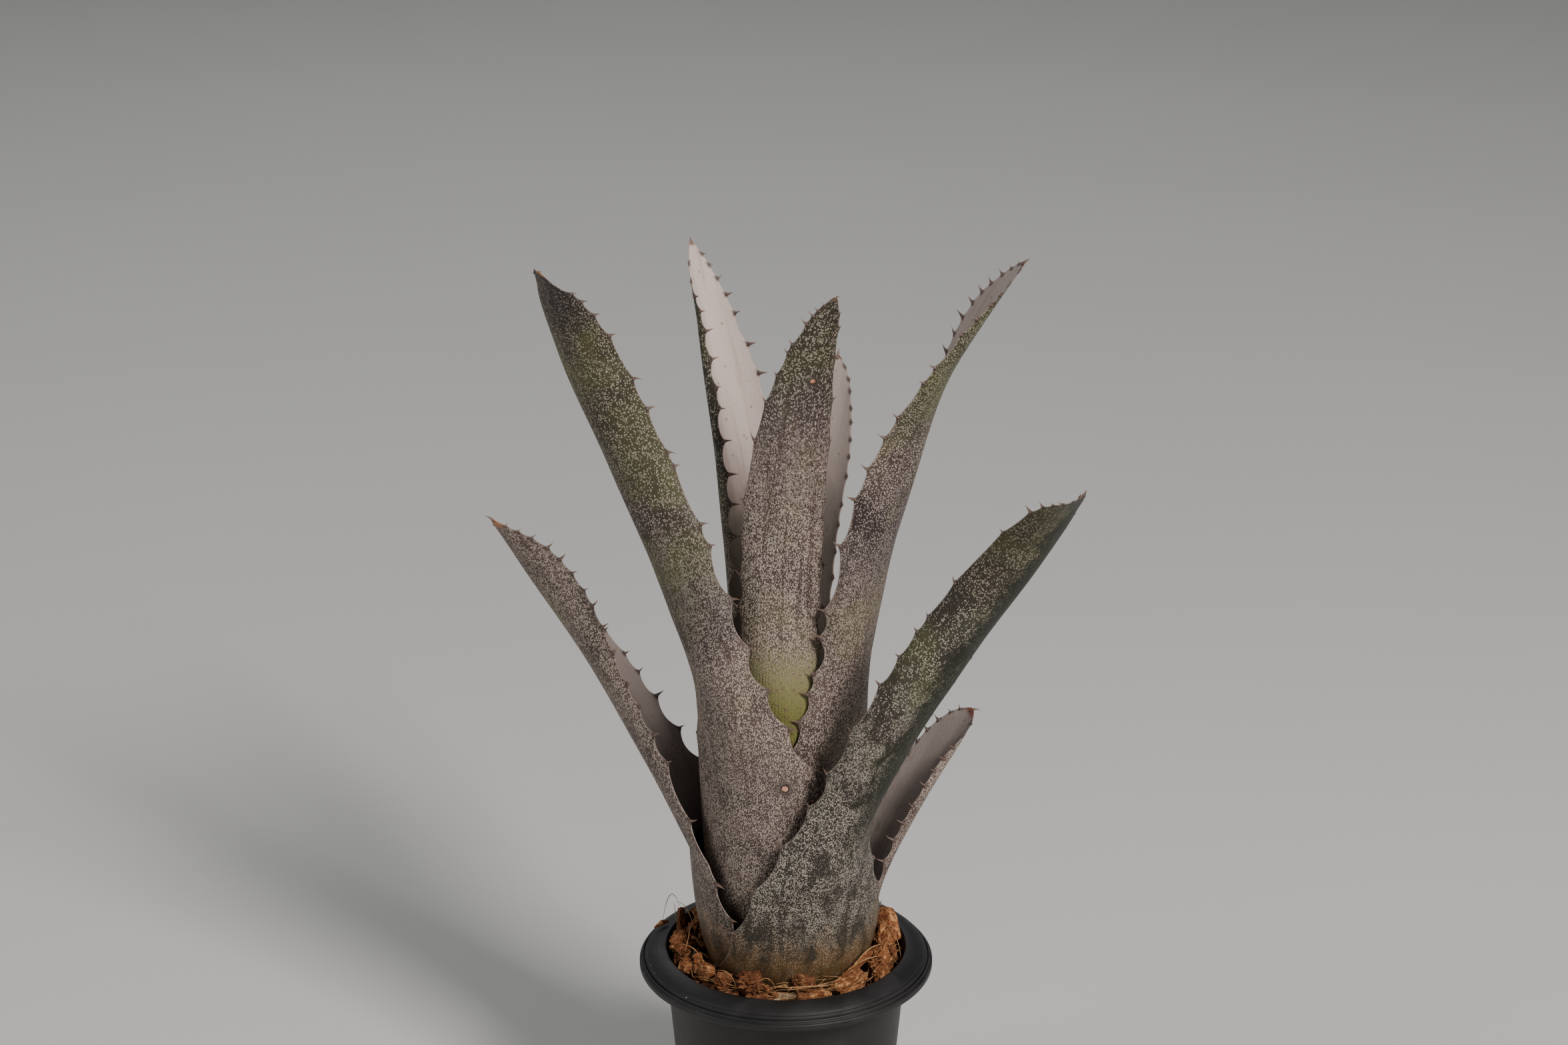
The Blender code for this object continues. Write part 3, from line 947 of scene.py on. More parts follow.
@dataclass
class Leaf:
    """One leaf: sheath, channelled blade, scalloped margins and hooked spines."""

    node: str
    azimuth: float  # degrees from -Y towards +X
    rank: int  # 0 is the oldest and outermost
    parting: float  # height above the bed where the blade leaves the body
    lean: float  # degrees from upright where it leaves
    reach: float  # how far the tip lies outwards from there
    sway: float  # how far the tip lies sideways
    height: float  # the tip's height above the bed
    tip_lean: float  # degrees from upright at the tip
    tip_turn: float  # degrees that the tip heads sideways
    sheath_wrap: float  # degrees of the body under each half of the sheath
    blade_half: float  # half-width of the blade
    channel: float  # degrees that each half of the blade is cupped
    twist: float  # degrees that the blade turns about itself
    taper_from: float  # share of the blade where it starts to narrow
    finish: LeafFinish
    curl_left: float = 0.0  # extra degrees that the left margin rolls inwards
    curl_right: float = 0.0  # and the right one
    curl_from: float = 0.05  # share of the blade where the rolling begins
    curl_end: float = 0.25  # share of the blade over which it ends before the tip
    tip_twist: float = 0.0  # extra degrees over the last part of the blade
    teeth_left: tuple[float, ...] = ()  # spines' places from the tip in millimetres, else seeded
    teeth_right: tuple[float, ...] = ()
    bluntness: float = 2.2  # higher keeps the blade wide up to a rounder tip
    scallop: float = 0.0022  # usual depth of the dip between two spines
    scallop_share: float = 0.16  # and its share of their distance
    right_foot: float = 1.0  # share of the right half's width that is left at the base
    forward: float = 0.2  # how far spines point to the tip, negative for backwards
    spine_length: float = 0.0034
    hook: Point = (0.5, 0.0, 0.9)  # out, side, up direction of the end spine
    hook_length: float = 0.005  # the end spine's length
    body: Body = field(default_factory=Body)

    BASE = -0.0030  # height of the sheath's foot, a little under the bed
    WRAP = math.radians(100.0)  # the most of the body that half a sheath can cover
    NARROW_FROM = -0.25  # shares of the blade between which the sheath narrows to the blade
    NARROW_TO = 0.22
    BODY_REACH = 0.040  # how far above the parting the body still sets the curve
    STIFFNESS = 0.36
    BLEND_BELOW = 0.015
    BLEND_LENGTH = 0.055
    HALF_THICKNESS = 0.00045
    ROW_STEP = 0.00060
    COLUMNS = 41
    TANGENT_STEP = 0.0015
    TIP_HALF_WIDTH = 0.0005
    TIP_TWIST_FROM = 0.45
    TIP_TWIST_OVER = 0.5
    LOW_TO = 0.28  # share of the blade up to which the dips are deep
    LOW_OVER = 0.27
    NARROW_WIDTH = 0.006  # half-width under which the margins lose their shape
    MARGIN = 0.0008  # how far the margins stand past the plain width, and more on the low part
    LOW_MARGIN = 0.0014
    CUSP_SHARPNESS = 0.42
    CUSP_SPOT = 2.4  # millimetres round a spine that are coloured by it
    FOOT_HEIGHT = 0.030
    FIRST_TOOTH = 0.004  # nearest that a spine stands to the tip
    WIDEST_GAP = 0.019
    SPINE_ROOT = 0.0012  # how deep a spine sits in the margin
    SPINE_SIDES = 6

    def midline(self) -> tuple[np.ndarray, np.ndarray, float]:
        """The leaf's middle line.

        Returns:
            Points in (out, side, up), the length along them, and the length that is sheath.
        """
        heights = np.linspace(self.BASE, self.parting, 60)
        sheath = np.stack([self.body.radius(heights, self.rank), heights * 0, heights], axis=1)
        start = sheath[-1]
        tip = np.array([start[0] + self.reach, self.sway, self.height])
        lean, tip_lean, turn = (math.radians(a) for a in (self.lean, self.tip_lean, self.tip_turn))
        leaves_along = np.array([math.sin(lean), 0.0, math.cos(lean)])
        flat = math.sin(tip_lean)
        arrives = np.array([flat * math.cos(turn), flat * math.sin(turn), math.cos(tip_lean)])
        handle = self.STIFFNESS * np.linalg.norm(tip - start)
        share = np.linspace(0.0, 1.0, 160)[1:, None]
        blade = (
            (1 - share) ** 3 * start
            + 3 * (1 - share) ** 2 * share * (start + leaves_along * handle)
            + 3 * (1 - share) * share**2 * (tip - arrives * handle)
            + share**3 * tip
        )
        line = np.vstack([sheath, blade])
        along = np.concatenate([[0.0], np.cumsum(np.linalg.norm(np.diff(line, axis=0), axis=1))])
        return line, along, float(along[len(sheath) - 1])

    def teeth(self, length: float, edge: Edge) -> np.ndarray:
        """Where one margin's spines stand: closer near the tip.

        Args:
            length: the leaf's whole length.
            edge: which margin.

        Returns:
            Their places along the leaf, rising from the base.
        """
        rng = random.Random(self.rank * 10 + edge.value)
        chosen = self.teeth_left if edge is Edge.LEFT else self.teeth_right
        places = [length - place * MM for place in chosen if place * MM < length - self.FIRST_TOOTH]
        from_tip = length - places[-1] + 0.013 if places else self.FIRST_TOOTH
        while from_tip < length - 2 * self.FIRST_TOOTH:
            places.append(length - from_tip)
            from_tip += min(0.0045 + 0.105 * from_tip, self.WIDEST_GAP) * rng.uniform(0.70, 1.25)
        return np.array(sorted([0.0, *places]))

    def scallops(
        self, stations: np.ndarray, teeth: np.ndarray, length: float, low: np.ndarray
    ) -> tuple[np.ndarray, np.ndarray]:
        """One margin's dips between its spines.

        Args:
            stations: places along the leaf.
            teeth: the spines' places.
            length: the leaf's whole length.
            low: 1 on the sheath and the blade's foot, where the dips are deeper, 0 above.

        Returns:
            How far the margin dips in and how far the nearest spine is, at each station.
        """
        ends = np.append(teeth, length)
        slot = np.clip(np.searchsorted(ends, stations, side="right") - 1, 0, len(ends) - 2)
        gap = np.maximum(ends[slot + 1] - ends[slot], 1e-6)
        phase = np.clip((stations - ends[slot]) / gap, 0.0, 1.0)
        dip = np.maximum(np.sin(math.pi * phase), 0.0) ** (self.CUSP_SHARPNESS + 0.12 * low)
        deepest = np.minimum(gap * (self.scallop_share + 0.16 * low), self.scallop * (0.60 + 1.10 * low))
        return dip * deepest, np.minimum(phase, 1 - phase) * gap

    def half_widths(self, share: np.ndarray, radius: np.ndarray) -> np.ndarray:
        """The leaf's half-width along its surface, before the scallops.

        Args:
            share: each row's share of the blade, below 0 on the sheath.
            radius: the body's radius there.

        Returns:
            The half-width of each row.
        """
        sheath_half = math.radians(self.sheath_wrap) * float(self.body.radius(self.parting, self.rank))
        narrowed = smoothstep((share - self.NARROW_FROM) / (self.NARROW_TO - self.NARROW_FROM))
        width = sheath_half + (self.blade_half - sheath_half) * narrowed
        taper = np.clip((share - self.taper_from) / (1 - self.taper_from), 0.0, 1.0)
        width = width * (1 - taper**self.bluntness) ** 0.8 + self.TIP_HALF_WIDTH
        return np.minimum(width, self.WRAP * radius)

    def axes(self, tangent: np.ndarray, free: np.ndarray, share: np.ndarray) -> tuple[np.ndarray, np.ndarray]:
        """How the leaf is turned about its middle line.

        Args:
            tangent: the middle line's direction in each row.
            free: 0 where the body sets the turn, 1 where the blade is free.
            share: each row's share of the blade.

        Returns:
            The directions of the inner side and of the right margin.
        """
        turn = math.radians(self.twist) * smoothstep(share)
        late = smoothstep((share - self.TIP_TWIST_FROM) / self.TIP_TWIST_OVER)
        turn = turn + math.radians(self.tip_twist) * late
        outward = np.stack([np.cos(turn), np.sin(turn), turn * 0], axis=1)
        inward = -outward + np.sum(outward * tangent, axis=1)[:, None] * tangent
        mix = free[:, None]
        normal = unit((1 - mix) * np.array([-1.0, 0.0, 0.0]) + mix * unit(inward))
        side = unit((1 - mix) * np.array([0.0, 1.0, 0.0]) + mix * unit(np.cross(normal, tangent)))
        return normal, side

    def curled(self, run: np.ndarray, full: np.ndarray, share: np.ndarray) -> np.ndarray:
        """How far the margins roll inwards.

        Args:
            run: distance from the middle column along the surface.
            full: each row's half-width at the spines.
            share: each row's share of the blade.

        Returns:
            The extra angle of the surface at each point.
        """
        most = np.where(run < 0, -math.radians(self.curl_left), math.radians(self.curl_right))
        begun = smoothstep((share - self.curl_from) / 0.25) * smoothstep((0.99 - share) / self.curl_end)
        return most * smoothstep((np.abs(run) / full[:, None] - 0.45) / 0.5) * begun[:, None]

    def ripple(self, run: np.ndarray, stations: np.ndarray) -> np.ndarray:
        """Slow unevenness of the blade, from -1 to 1.

        Args:
            run: distance from the middle column along the surface.
            stations: each row's place along the leaf.

        Returns:
            The unevenness at each point.
        """
        along = stations[:, None]
        return np.sin(run * 260 + along * 41 + self.rank) * np.sin(along * 90 + self.rank * 2.0)

    def surface(self) -> Sheet:
        """Lay out the leaf's middle surface.

        Returns:
            The surface, with everything that the two faces and the spines need.
        """
        line, along, sheath = self.midline()
        length = float(along[-1])
        stations = np.linspace(0.0, length, int(length / self.ROW_STEP))
        middle = follow(line, along, stations)
        ahead = follow(line, along, np.minimum(stations + self.TANGENT_STEP, length))
        tangent = unit(ahead - follow(line, along, np.maximum(stations - self.TANGENT_STEP, 0)))
        free = smoothstep((stations - sheath + self.BLEND_BELOW) / self.BLEND_LENGTH)
        share = (stations - sheath) / (length - sheath)
        radius = self.body.radius(np.minimum(middle[:, 2], self.parting + self.BODY_REACH), self.rank)
        width = self.half_widths(share, radius)
        normal, side = self.axes(tangent, free, share)

        spread = np.linspace(-1.0, 1.0, self.COLUMNS)
        across = (spread * (1.3 - 0.3 * spread**2))[None]  # columns crowd towards the margins
        teeth = {edge: self.teeth(length, edge) for edge in Edge}
        low = 1 - smoothstep((share - self.LOW_TO) / self.LOW_OVER)
        margins = {edge: self.scallops(stations, teeth[edge], length, low) for edge in Edge}
        ease = np.minimum(1.0, width / self.NARROW_WIDTH)
        full = width + (self.MARGIN + self.LOW_MARGIN * low) * ease
        halves = {edge: (full - margins[edge][0] * ease)[:, None] for edge in Edge}
        kept = self.right_foot + (1 - self.right_foot) * smoothstep(middle[:, 2] / self.FOOT_HEIGHT)
        halves[Edge.RIGHT] = halves[Edge.RIGHT] * kept[:, None]
        half = np.where(across < 0, halves[Edge.LEFT], halves[Edge.RIGHT])
        near = np.where(across < 0, margins[Edge.LEFT][1][:, None], margins[Edge.RIGHT][1][:, None])

        run = half * across
        cupped = free * math.radians(self.channel) / np.maximum(width, self.blade_half * 0.6)
        bend = (1 - free) / radius + cupped
        angle = run * bend[:, None] + self.curled(run, full, share)
        reach, rise = self.arc(run, angle)
        points = middle[:, None] + side[:, None] * reach[..., None] + normal[:, None] * rise[..., None]
        face = unit(-side[:, None] * np.sin(angle)[..., None] + normal[:, None] * np.cos(angle)[..., None])
        wave = self.ripple(run, stations) * 0.00022 * (0.4 + free[:, None])
        points = points + face * wave[..., None]
        return Sheet(
            points=points, face=face, run=run, half=half, near=near, across=across, stations=stations,
            middle=middle, tangent=tangent, width=width, length=length, teeth=teeth,
        )

    @staticmethod
    def arc(run: np.ndarray, angle: np.ndarray) -> tuple[np.ndarray, np.ndarray]:
        """Walk out from the middle column along a curve of given slopes.

        Args:
            run: distance along the surface from the middle, row by row.
            angle: the surface's slope there.

        Returns:
            How far each point has gone sideways and inwards.
        """
        step = np.diff(run, axis=1)
        slope = (angle[:, 1:] + angle[:, :-1]) / 2
        walked = []
        for way in (np.cos(slope), np.sin(slope)):
            total = np.concatenate([np.zeros((len(run), 1)), np.cumsum(way * step, axis=1)], axis=1)
            walked.append(total - total[:, run.shape[1] // 2][:, None])
        return walked[0], walked[1]

    def world(self, local: np.ndarray, bed: float) -> np.ndarray:
        """Turn places beside the leaf's own axis into the plant's frame.

        Args:
            local: places as (out, side, up from the bed).
            bed: height of the coir bed's top.

        Returns:
            The places in the plant's frame.
        """
        facing = math.radians(self.azimuth)
        out = np.array([math.sin(facing), -math.cos(facing), 0.0])
        sideways = np.array([math.cos(facing), math.sin(facing), 0.0])
        placed = local[..., 0:1] * out + local[..., 1:2] * sideways
        return placed + (local[..., 2:3] + bed) * np.array([0.0, 0.0, 1.0])

    @staticmethod
    def shell_faces(rows: int, columns: int) -> list[tuple[int, ...]]:
        """Faces of a closed two-sided grid: outer side, inner side and the rim between them.

        Args:
            rows: rows of corners on each side.
            columns: columns of corners on each side.

        Returns:
            The faces.
        """
        count = rows * columns
        faces: list[tuple[int, ...]] = []
        for r in range(rows - 1):
            for c in range(columns - 1):
                k = r * columns + c
                faces.append((k, k + 1, k + 1 + columns, k + columns))
                faces.append((count + k, count + k + columns, count + k + columns + 1, count + k + 1))
            k, e = r * columns, r * columns + columns - 1
            faces.append((k, k + columns, count + k + columns, count + k))
            faces.append((e, count + e, count + e + columns, e + columns))
        top = (rows - 1) * columns
        for c in range(columns - 1):
            faces.append((c, count + c, count + c + 1, c + 1))
            faces.append((top + c, top + c + 1, count + top + c + 1, count + top + c))
        return faces

    def build(self, bed: float, horn: bpy.types.Material) -> None:
        """Make the leaf and its spines.

        Args:
            bed: height of the coir bed's top.
            horn: the spines' material.
        """
        sheet = self.surface()
        rows, columns = sheet.run.shape
        thin = 1 - 0.72 * np.abs(sheet.across) ** 7
        ends = np.minimum(1.0, 0.35 + (sheet.length - sheet.stations) / 0.03)[:, None]
        half_thick = (self.HALF_THICKNESS * thin * ends)[..., None]
        outer = sheet.points - sheet.face * half_thick
        inner = sheet.points + sheet.face * half_thick
        points = self.world(np.concatenate([outer.reshape(-1, 3), inner.reshape(-1, 3)]), bed)
        edge = (sheet.half - np.abs(sheet.run)) / MM
        stations = sheet.stations[:, None] * np.ones_like(sheet.run)
        cusp = np.clip(1 - np.hypot(sheet.near / MM, edge * 0.9) / self.CUSP_SPOT, 0.0, 1.0)
        maps = {
            "across": sheet.run / MM, "along": stations / MM, "edge": edge, "cusp": cusp,
            "tip": (sheet.length - stations) / MM, "height": sheet.points[..., 2] / MM,
        }
        numbers = {key: np.tile(values.ravel(), 2) for key, values in maps.items()}
        numbers["inner"] = np.repeat([0.0, 1.0], rows * columns)
        faces = self.shell_faces(rows, columns)
        piece = new_piece(f"{self.node}_blade", points, faces, self.finish.material(), numbers)
        settle(piece, Slot.LEAF, self.node)
        self.build_spines(sheet, bed, horn)

    def build_spines(self, sheet: Sheet, bed: float, horn: bpy.types.Material) -> None:
        """Make every margin spine and the one at the tip.

        Args:
            sheet: the leaf's surface.
            bed: height of the coir bed's top.
            horn: their material.
        """
        rng = random.Random(self.rank + 77)
        spines = Cluster()
        lines = [self.end_spine(sheet)]
        last_row = len(sheet.stations) - 2
        for edge, columns in ((Edge.LEFT, (0, 3)), (Edge.RIGHT, (-1, -4))):
            for place in sheet.teeth[edge][1:]:
                row = int(np.clip(round(float(place) / sheet.stations[1]), 1, last_row))
                lines.append(self.margin_spine(sheet, row, columns, rng))
        for line, radii in lines:
            corners, faces = tube(line, radii, self.SPINE_SIDES)
            reach = np.repeat(np.linspace(0.0, 1.0, len(line)), self.SPINE_SIDES)
            spines.add(self.world(corners, bed), faces, reach=reach)
        settle(spines.piece(self.node.replace("leaf_", "spines_"), horn), Slot.LEAF)

    def margin_spine(
        self, sheet: Sheet, row: int, columns: tuple[int, int], rng: random.Random
    ) -> tuple[np.ndarray, np.ndarray]:
        """One hooked spine that stands on a cusp of the margin.

        Args:
            sheet: the leaf's surface.
            row: the cusp's row.
            columns: the margin's column and one further in.
            rng: the leaf's random draws.

        Returns:
            The spine's line and its radii.
        """
        foot = sheet.points[row, columns[0]]
        outward = unit(foot - sheet.points[row, columns[1]])
        grown = min(1.0, 0.45 + sheet.width[row] / 0.020)
        size = self.spine_length * rng.uniform(0.75, 1.25) * grown
        share = np.linspace(0.0, 1.0, 8)[:, None]
        lean = self.forward + rng.uniform(-0.25, 0.25)
        line = (
            foot - outward * self.SPINE_ROOT
            + outward * size * (1.25 * share - 0.25 * share**2)
            + sheet.tangent[row] * size * lean * (0.25 * share + 0.85 * share**2)
            + sheet.face[row, columns[0]] * size * rng.uniform(-0.1, 0.3) * share**2
        )
        return line, size * 0.20 * (1 - share[:, 0]) ** 1.4 + 0.00006

    def end_spine(self, sheet: Sheet) -> tuple[np.ndarray, np.ndarray]:
        """The hooked point that ends the leaf.

        Args:
            sheet: the leaf's surface.

        Returns:
            The spine's line and its radii.
        """
        start, along = sheet.middle[-4], sheet.tangent[-4]
        hook = unit(np.array(self.hook))
        share = np.linspace(0.0, 1.0, 9)[:, None]
        line = start + (along * (share - 0.5 * share**2) + hook * 0.5 * share**2) * self.hook_length
        return line, 0.00062 * (1 - share[:, 0]) ** 0.8 + 0.00004


# ------------------------------------------------------------ pot


@dataclass
class Pot:
    """The nursery pot: stepped crowned rim, tapered wall and a floor with drain holes."""

    rim_radius: float = 0.060
    overhang: float = 0.0100  # how far the rim stands out from the wall
    drop: float = 0.0085  # height of the rim's skirt
    crown: float = 0.0050  # how far the rim falls to its edge
    lip: float = 0.0014  # thickness of the rim
    rounding: float = 0.0007
    wall: float = 0.0012
    base_radius: float = 0.040
    floor: float = 0.0020
    foot_bevel: float = 0.0020
    drains: int = 6
    drain_radius: float = 0.0040
    drain_circle: float = 0.0240
    steps: int = 240  # corners round the pot
    rings: tuple[tuple[float, float], ...] = (  # each step's share of the rim's width, and its depth
        (0.70, 0.00060), (0.84, 0.00130), (0.94, 0.00090),
    )

    STEP_FALL = 0.018  # share of the rim's width over which a step falls, and then rises again
    STEP_RISE = 0.075

    @cached_property
    def height(self) -> float:
        """The pot's height in the frame."""
        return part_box("pot")[1][2]

    def inner_radius(self, z: float) -> float:
        """The inside of the wall at a height."""
        neck = self.rim_radius - self.overhang
        return self.base_radius + (neck - self.base_radius) * z / self.height - self.wall

    def rim_height(self, share: float) -> float:
        """The rim's crowned top with its turned steps.

        Args:
            share: 0 at the mouth, 1 at the edge.

        Returns:
            The height there.
        """
        z = self.height - self.crown * share**2
        for place, depth in self.rings:
            z -= depth * float(smoothstep(np.array((share - place) / self.STEP_FALL)))
            z += depth * 0.9 * float(smoothstep(np.array((share - place - 0.020) / self.STEP_RISE)))
        return z

    @staticmethod
    def corner(x: float, z: float, radius: float, angles: np.ndarray) -> list[tuple[float, float]]:
        """Points of a rounded corner in the section.

        Args:
            x: its centre's distance from the axis.
            z: its centre's height.
            radius: its radius.
            angles: where on it, in radians from the outward direction.

        Returns:
            The points.
        """
        return [(x + radius * math.cos(angle), z + radius * math.sin(angle)) for angle in angles]

    def profile(self) -> np.ndarray:
        """The section, from the middle of the floor over the rim and back under the base.

        Returns:
            Points as (distance from the axis, height).
        """
        top, bottom = self.height, self.height - self.drop
        centre, end = self.inner_radius(top) + self.rounding, self.rim_radius - self.rounding
        quarter = math.pi / 2
        points = [(0.0, self.floor)]
        for share in np.linspace(0.0, 1.0, 12)[1:]:
            points.append((self.inner_radius(self.floor) * share, self.floor))
        for z in np.linspace(self.floor, top - self.rounding, 14)[1:]:
            points.append((self.inner_radius(z), z))
        mouth = np.linspace(math.pi, quarter, 6)[1:]
        points += self.corner(centre, top - self.rounding, self.rounding, mouth)
        for share in np.linspace(0.0, 1.0, 110)[1:]:
            points.append((centre + (end - centre) * share, self.rim_height(share)))
        side_top = points[-1][1] - self.rounding
        points += self.corner(end, side_top, self.rounding, np.linspace(quarter, 0.0, 5)[1:])
        points += self.corner(end, bottom + self.rounding, self.rounding, np.linspace(0.0, -quarter, 5))
        points.append((self.rim_radius - self.lip, bottom))
        for share in np.linspace(0.93, 0.12, 14):
            r = min(centre + (end - centre) * share, self.rim_radius - self.lip)
            points.append((r, top - self.crown * share**2 - self.lip - 0.0004))
        for z in np.linspace(top - self.lip * 2.4, self.foot_bevel, 16):
            points.append((self.inner_radius(z) + self.wall, z))
        foot, bevel = self.base_radius - self.foot_bevel, np.linspace(0.0, -quarter, 5)[1:]
        points += self.corner(foot, self.foot_bevel, self.foot_bevel, bevel)
        for share in np.linspace(1.0, 0.0, 12)[1:]:
            points.append((foot * share, 0.0))
        return np.array(points)

    def build(self) -> None:
        """Turn the section and cut the drain holes."""
        profile = self.profile()
        ring = profile[1:-1]
        angles = np.linspace(0, math.tau, self.steps, endpoint=False)
        around = np.stack([np.cos(angles), np.sin(angles)], axis=1)
        heights = np.broadcast_to(ring[:, None, 1:], (len(ring), self.steps, 1))
        body = np.concatenate([ring[:, None, :1] * around[None], heights], axis=2).reshape(-1, 3)
        points = np.concatenate([body, [[0, 0, profile[0][1]], [0, 0, profile[-1][1]]]])
        faces: list[tuple[int, ...]] = []
        for k in range(len(ring) - 1):
            for j in range(self.steps):
                a, b = k * self.steps + j, k * self.steps + (j + 1) % self.steps
                faces.append((a, a + self.steps, b + self.steps, b))
        first, last = len(body), len(body) + 1
        end = (len(ring) - 1) * self.steps
        for j in range(self.steps):
            j2 = (j + 1) % self.steps
            faces.append((first, j, j2))
            faces.append((last, end + j2, end + j))
        out = np.concatenate([np.repeat(ring[:, 0], self.steps), [0, 0]])
        numbers = {"out": out, "down": points[:, 2]}
        piece = new_piece("nursery_pot", points, faces, PotFinish().material(), numbers)
        self.cut_drains(piece)
        settle(piece, Slot.POT, "pot")

    def cut_drains(self, piece: bpy.types.Object) -> None:
        """Cut round holes through the floor, in line with the solid model's.

        Args:
            piece: the pot.
        """
        shape = bmesh.new()
        for k in range(self.drains):
            angle = math.tau * (k + 0.5) / self.drains
            drill = bmesh.ops.create_cone(
                shape, cap_ends=True, segments=32, depth=self.floor * 4,
                radius1=self.drain_radius, radius2=self.drain_radius,
            )
            place = Vector((math.cos(angle), math.sin(angle), 0.0)) * self.drain_circle
            bmesh.ops.translate(shape, verts=drill["verts"], vec=place)
        mesh = bpy.data.meshes.new("drill")
        shape.to_mesh(mesh)
        shape.free()
        drill_object = bpy.data.objects.new("drill", mesh)
        bpy.context.scene.collection.objects.link(drill_object)
        cut = piece.modifiers.new("drains", "BOOLEAN")
        cut.operation = "DIFFERENCE"
        cut.object = drill_object
        apply_modifiers(piece)
        piece.data.set_sharp_from_angle(angle=math.radians(50))
        bpy.data.objects.remove(drill_object)


# ------------------------------------------------------------ potting mix


@dataclass(frozen=True)
class Lump:
    """One loose piece on top of the mix, placed in millimetres."""

    x: float  # to the right of the pot's axis
    front: float  # in front of it
    up: float  # above the pot's mouth
    size: Point  # along its grain, across it and thick
    turn: float = 0.0  # degrees about the vertical, from the X axis
    rake: float = 0.0  # degrees that its grain rises
    square: float = 0.5  # 1 is a ball, less is blockier
    rough: float = 0.16
    tone: float = 0.5  # 0 is dark and damp, 1 is fresh


LUMPS = (
    Lump(-14.2, 37.8, 1.4, (10.5, 10.0, 10.5), 10, 0, 0.85, 0.32, 0.05),
    Lump(6.6, 39.0, 2.6, (9.5, 6.5, 6.8), -8, 4, 0.18, 0.16, 0.35),
    Lump(23.4, 34.5, 0.4, (18.0, 6.0, 5.2), 33, 10, 0.40, 0.16, 0.85),
    Lump(13.0, 41.5, -1.6, (11.0, 4.5, 4.0), 18, 3, 0.40, 0.16, 0.75),
    Lump(29.5, 24.5, 3.6, (14.0, 4.0, 2.0), 42, 24, 0.35, 0.10, 0.95),
    Lump(37.5, 17.0, 1.6, (12.0, 9.0, 11.0), 60, 20, 0.55, 0.22, 0.80),
    Lump(40.0, 6.0, 4.6, (13.0, 8.0, 10.0), 75, 30, 0.50, 0.22, 0.90),
    Lump(42.6, -6.0, 5.6, (17.0, 7.5, 5.0), 118, 38, 0.25, 0.08, 1.00),
    Lump(38.5, 22.0, -1.2, (9.0, 6.0, 6.0), 50, 10, 0.45, 0.18, 0.70),
    Lump(-43.0, 5.0, 2.2, (12.0, 8.5, 11.0), 80, 15, 0.50, 0.22, 0.40),
    Lump(-31.5, 29.5, 2.2, (12.5, 4.5, 8.5), -42, 22, 0.28, 0.10, 0.55),
    Lump(-25.0, 35.0, 0.8, (6.5, 6.0, 8.0), -30, 0, 0.50, 0.24, 0.25),
    Lump(-35.5, 23.5, 4.6, (5.0, 4.0, 5.0), -60, 60, 0.35, 0.12, 0.95),
    Lump(-40.0, 22.0, 0.6, (7.0, 6.0, 5.0), -50, 10, 0.50, 0.18, 0.70),
    Lump(-42.5, -5.5, 6.0, (14.0, 3.6, 6.5), 95, 72, 0.40, 0.20, 0.05),
    Lump(-36.0, -14.5, 5.5, (9.0, 4.5, 4.0), 140, 25, 0.40, 0.16, 0.80),
    Lump(-7.5, 40.5, 0.2, (3.5, 3.0, 5.5), 0, 50, 0.45, 0.20, 0.45),
    Lump(-51.5, -15.0, 0.9, (7.0, 2.4, 2.0), 30, 18, 0.40, 0.14, 0.85),
    Lump(20.0, -38.0, 1.5, (12.0, 6.0, 6.0), 150, 8, 0.40, 0.16, 0.60),
    Lump(-14.0, -40.0, 1.8, (11.0, 7.0, 6.0), 20, 8, 0.45, 0.18, 0.50),
    Lump(34.0, -26.0, 2.2, (10.0, 6.0, 7.0), 125, 18, 0.40, 0.18, 0.80),
    Lump(-30.0, -31.0, 2.4, (11.0, 6.0, 6.0), 45, 14, 0.40, 0.18, 0.40),
    Lump(3.0, -42.0, 0.8, (9.0, 5.5, 5.0), 5, 6, 0.35, 0.14, 0.70),
)


@dataclass(frozen=True)
class Strand:
    """One long loose fibre: a curve by its ends and its pull, placed like a lump."""

    start: Point
    middle: Point
    end: Point
    thick: float = 0.35  # in millimetres, at its middle


STRANDS = (
    Strand((-51.0, -15.0, 1.6), (-48.0, -13.0, 24.0), (-43.5, -7.0, 13.0)),
    Strand((-45.0, -7.0, 15.0), (-40.0, -6.0, 16.0), (-37.0, 4.0, 6.0), 0.30),
    Strand((-46.0, -5.0, 16.0), (-45.0, -5.5, 10.0), (-44.5, -4.0, 5.0), 0.30),
    Strand((-5.0, 43.0, 2.6), (6.0, 46.5, 3.6), (19.0, 42.0, 3.2), 0.55),
    Strand((-2.0, 44.5, 2.0), (10.0, 45.5, 2.6), (24.0, 38.0, 4.2), 0.40),
    Strand((27.0, 31.0, 5.0), (33.0, 22.0, 11.0), (40.0, 15.0, 7.0), 0.60),
    Strand((24.0, 33.0, 4.0), (31.0, 26.0, 7.0), (39.0, 21.0, 5.0), 0.45),
    Strand((38.0, 4.0, 12.0), (46.0, 8.0, 9.0), (46.5, 14.0, 1.0), 0.30),
    Strand((-44.0, 12.0, 5.0), (-38.0, 18.0, 10.0), (-33.0, 26.0, 5.0), 0.35),
    Strand((-40.0, 2.0, 10.0), (-38.0, 8.0, 12.0), (-41.0, 16.0, 4.0), 0.30),
    Strand((-28.0, 34.0, 5.0), (-22.0, 37.0, 8.0), (-20.0, 40.0, 1.0), 0.30),
    Strand((-12.0, 42.0, 3.0), (-7.0, 41.0, 9.0), (-4.0, 42.0, 1.0), 0.30),
)


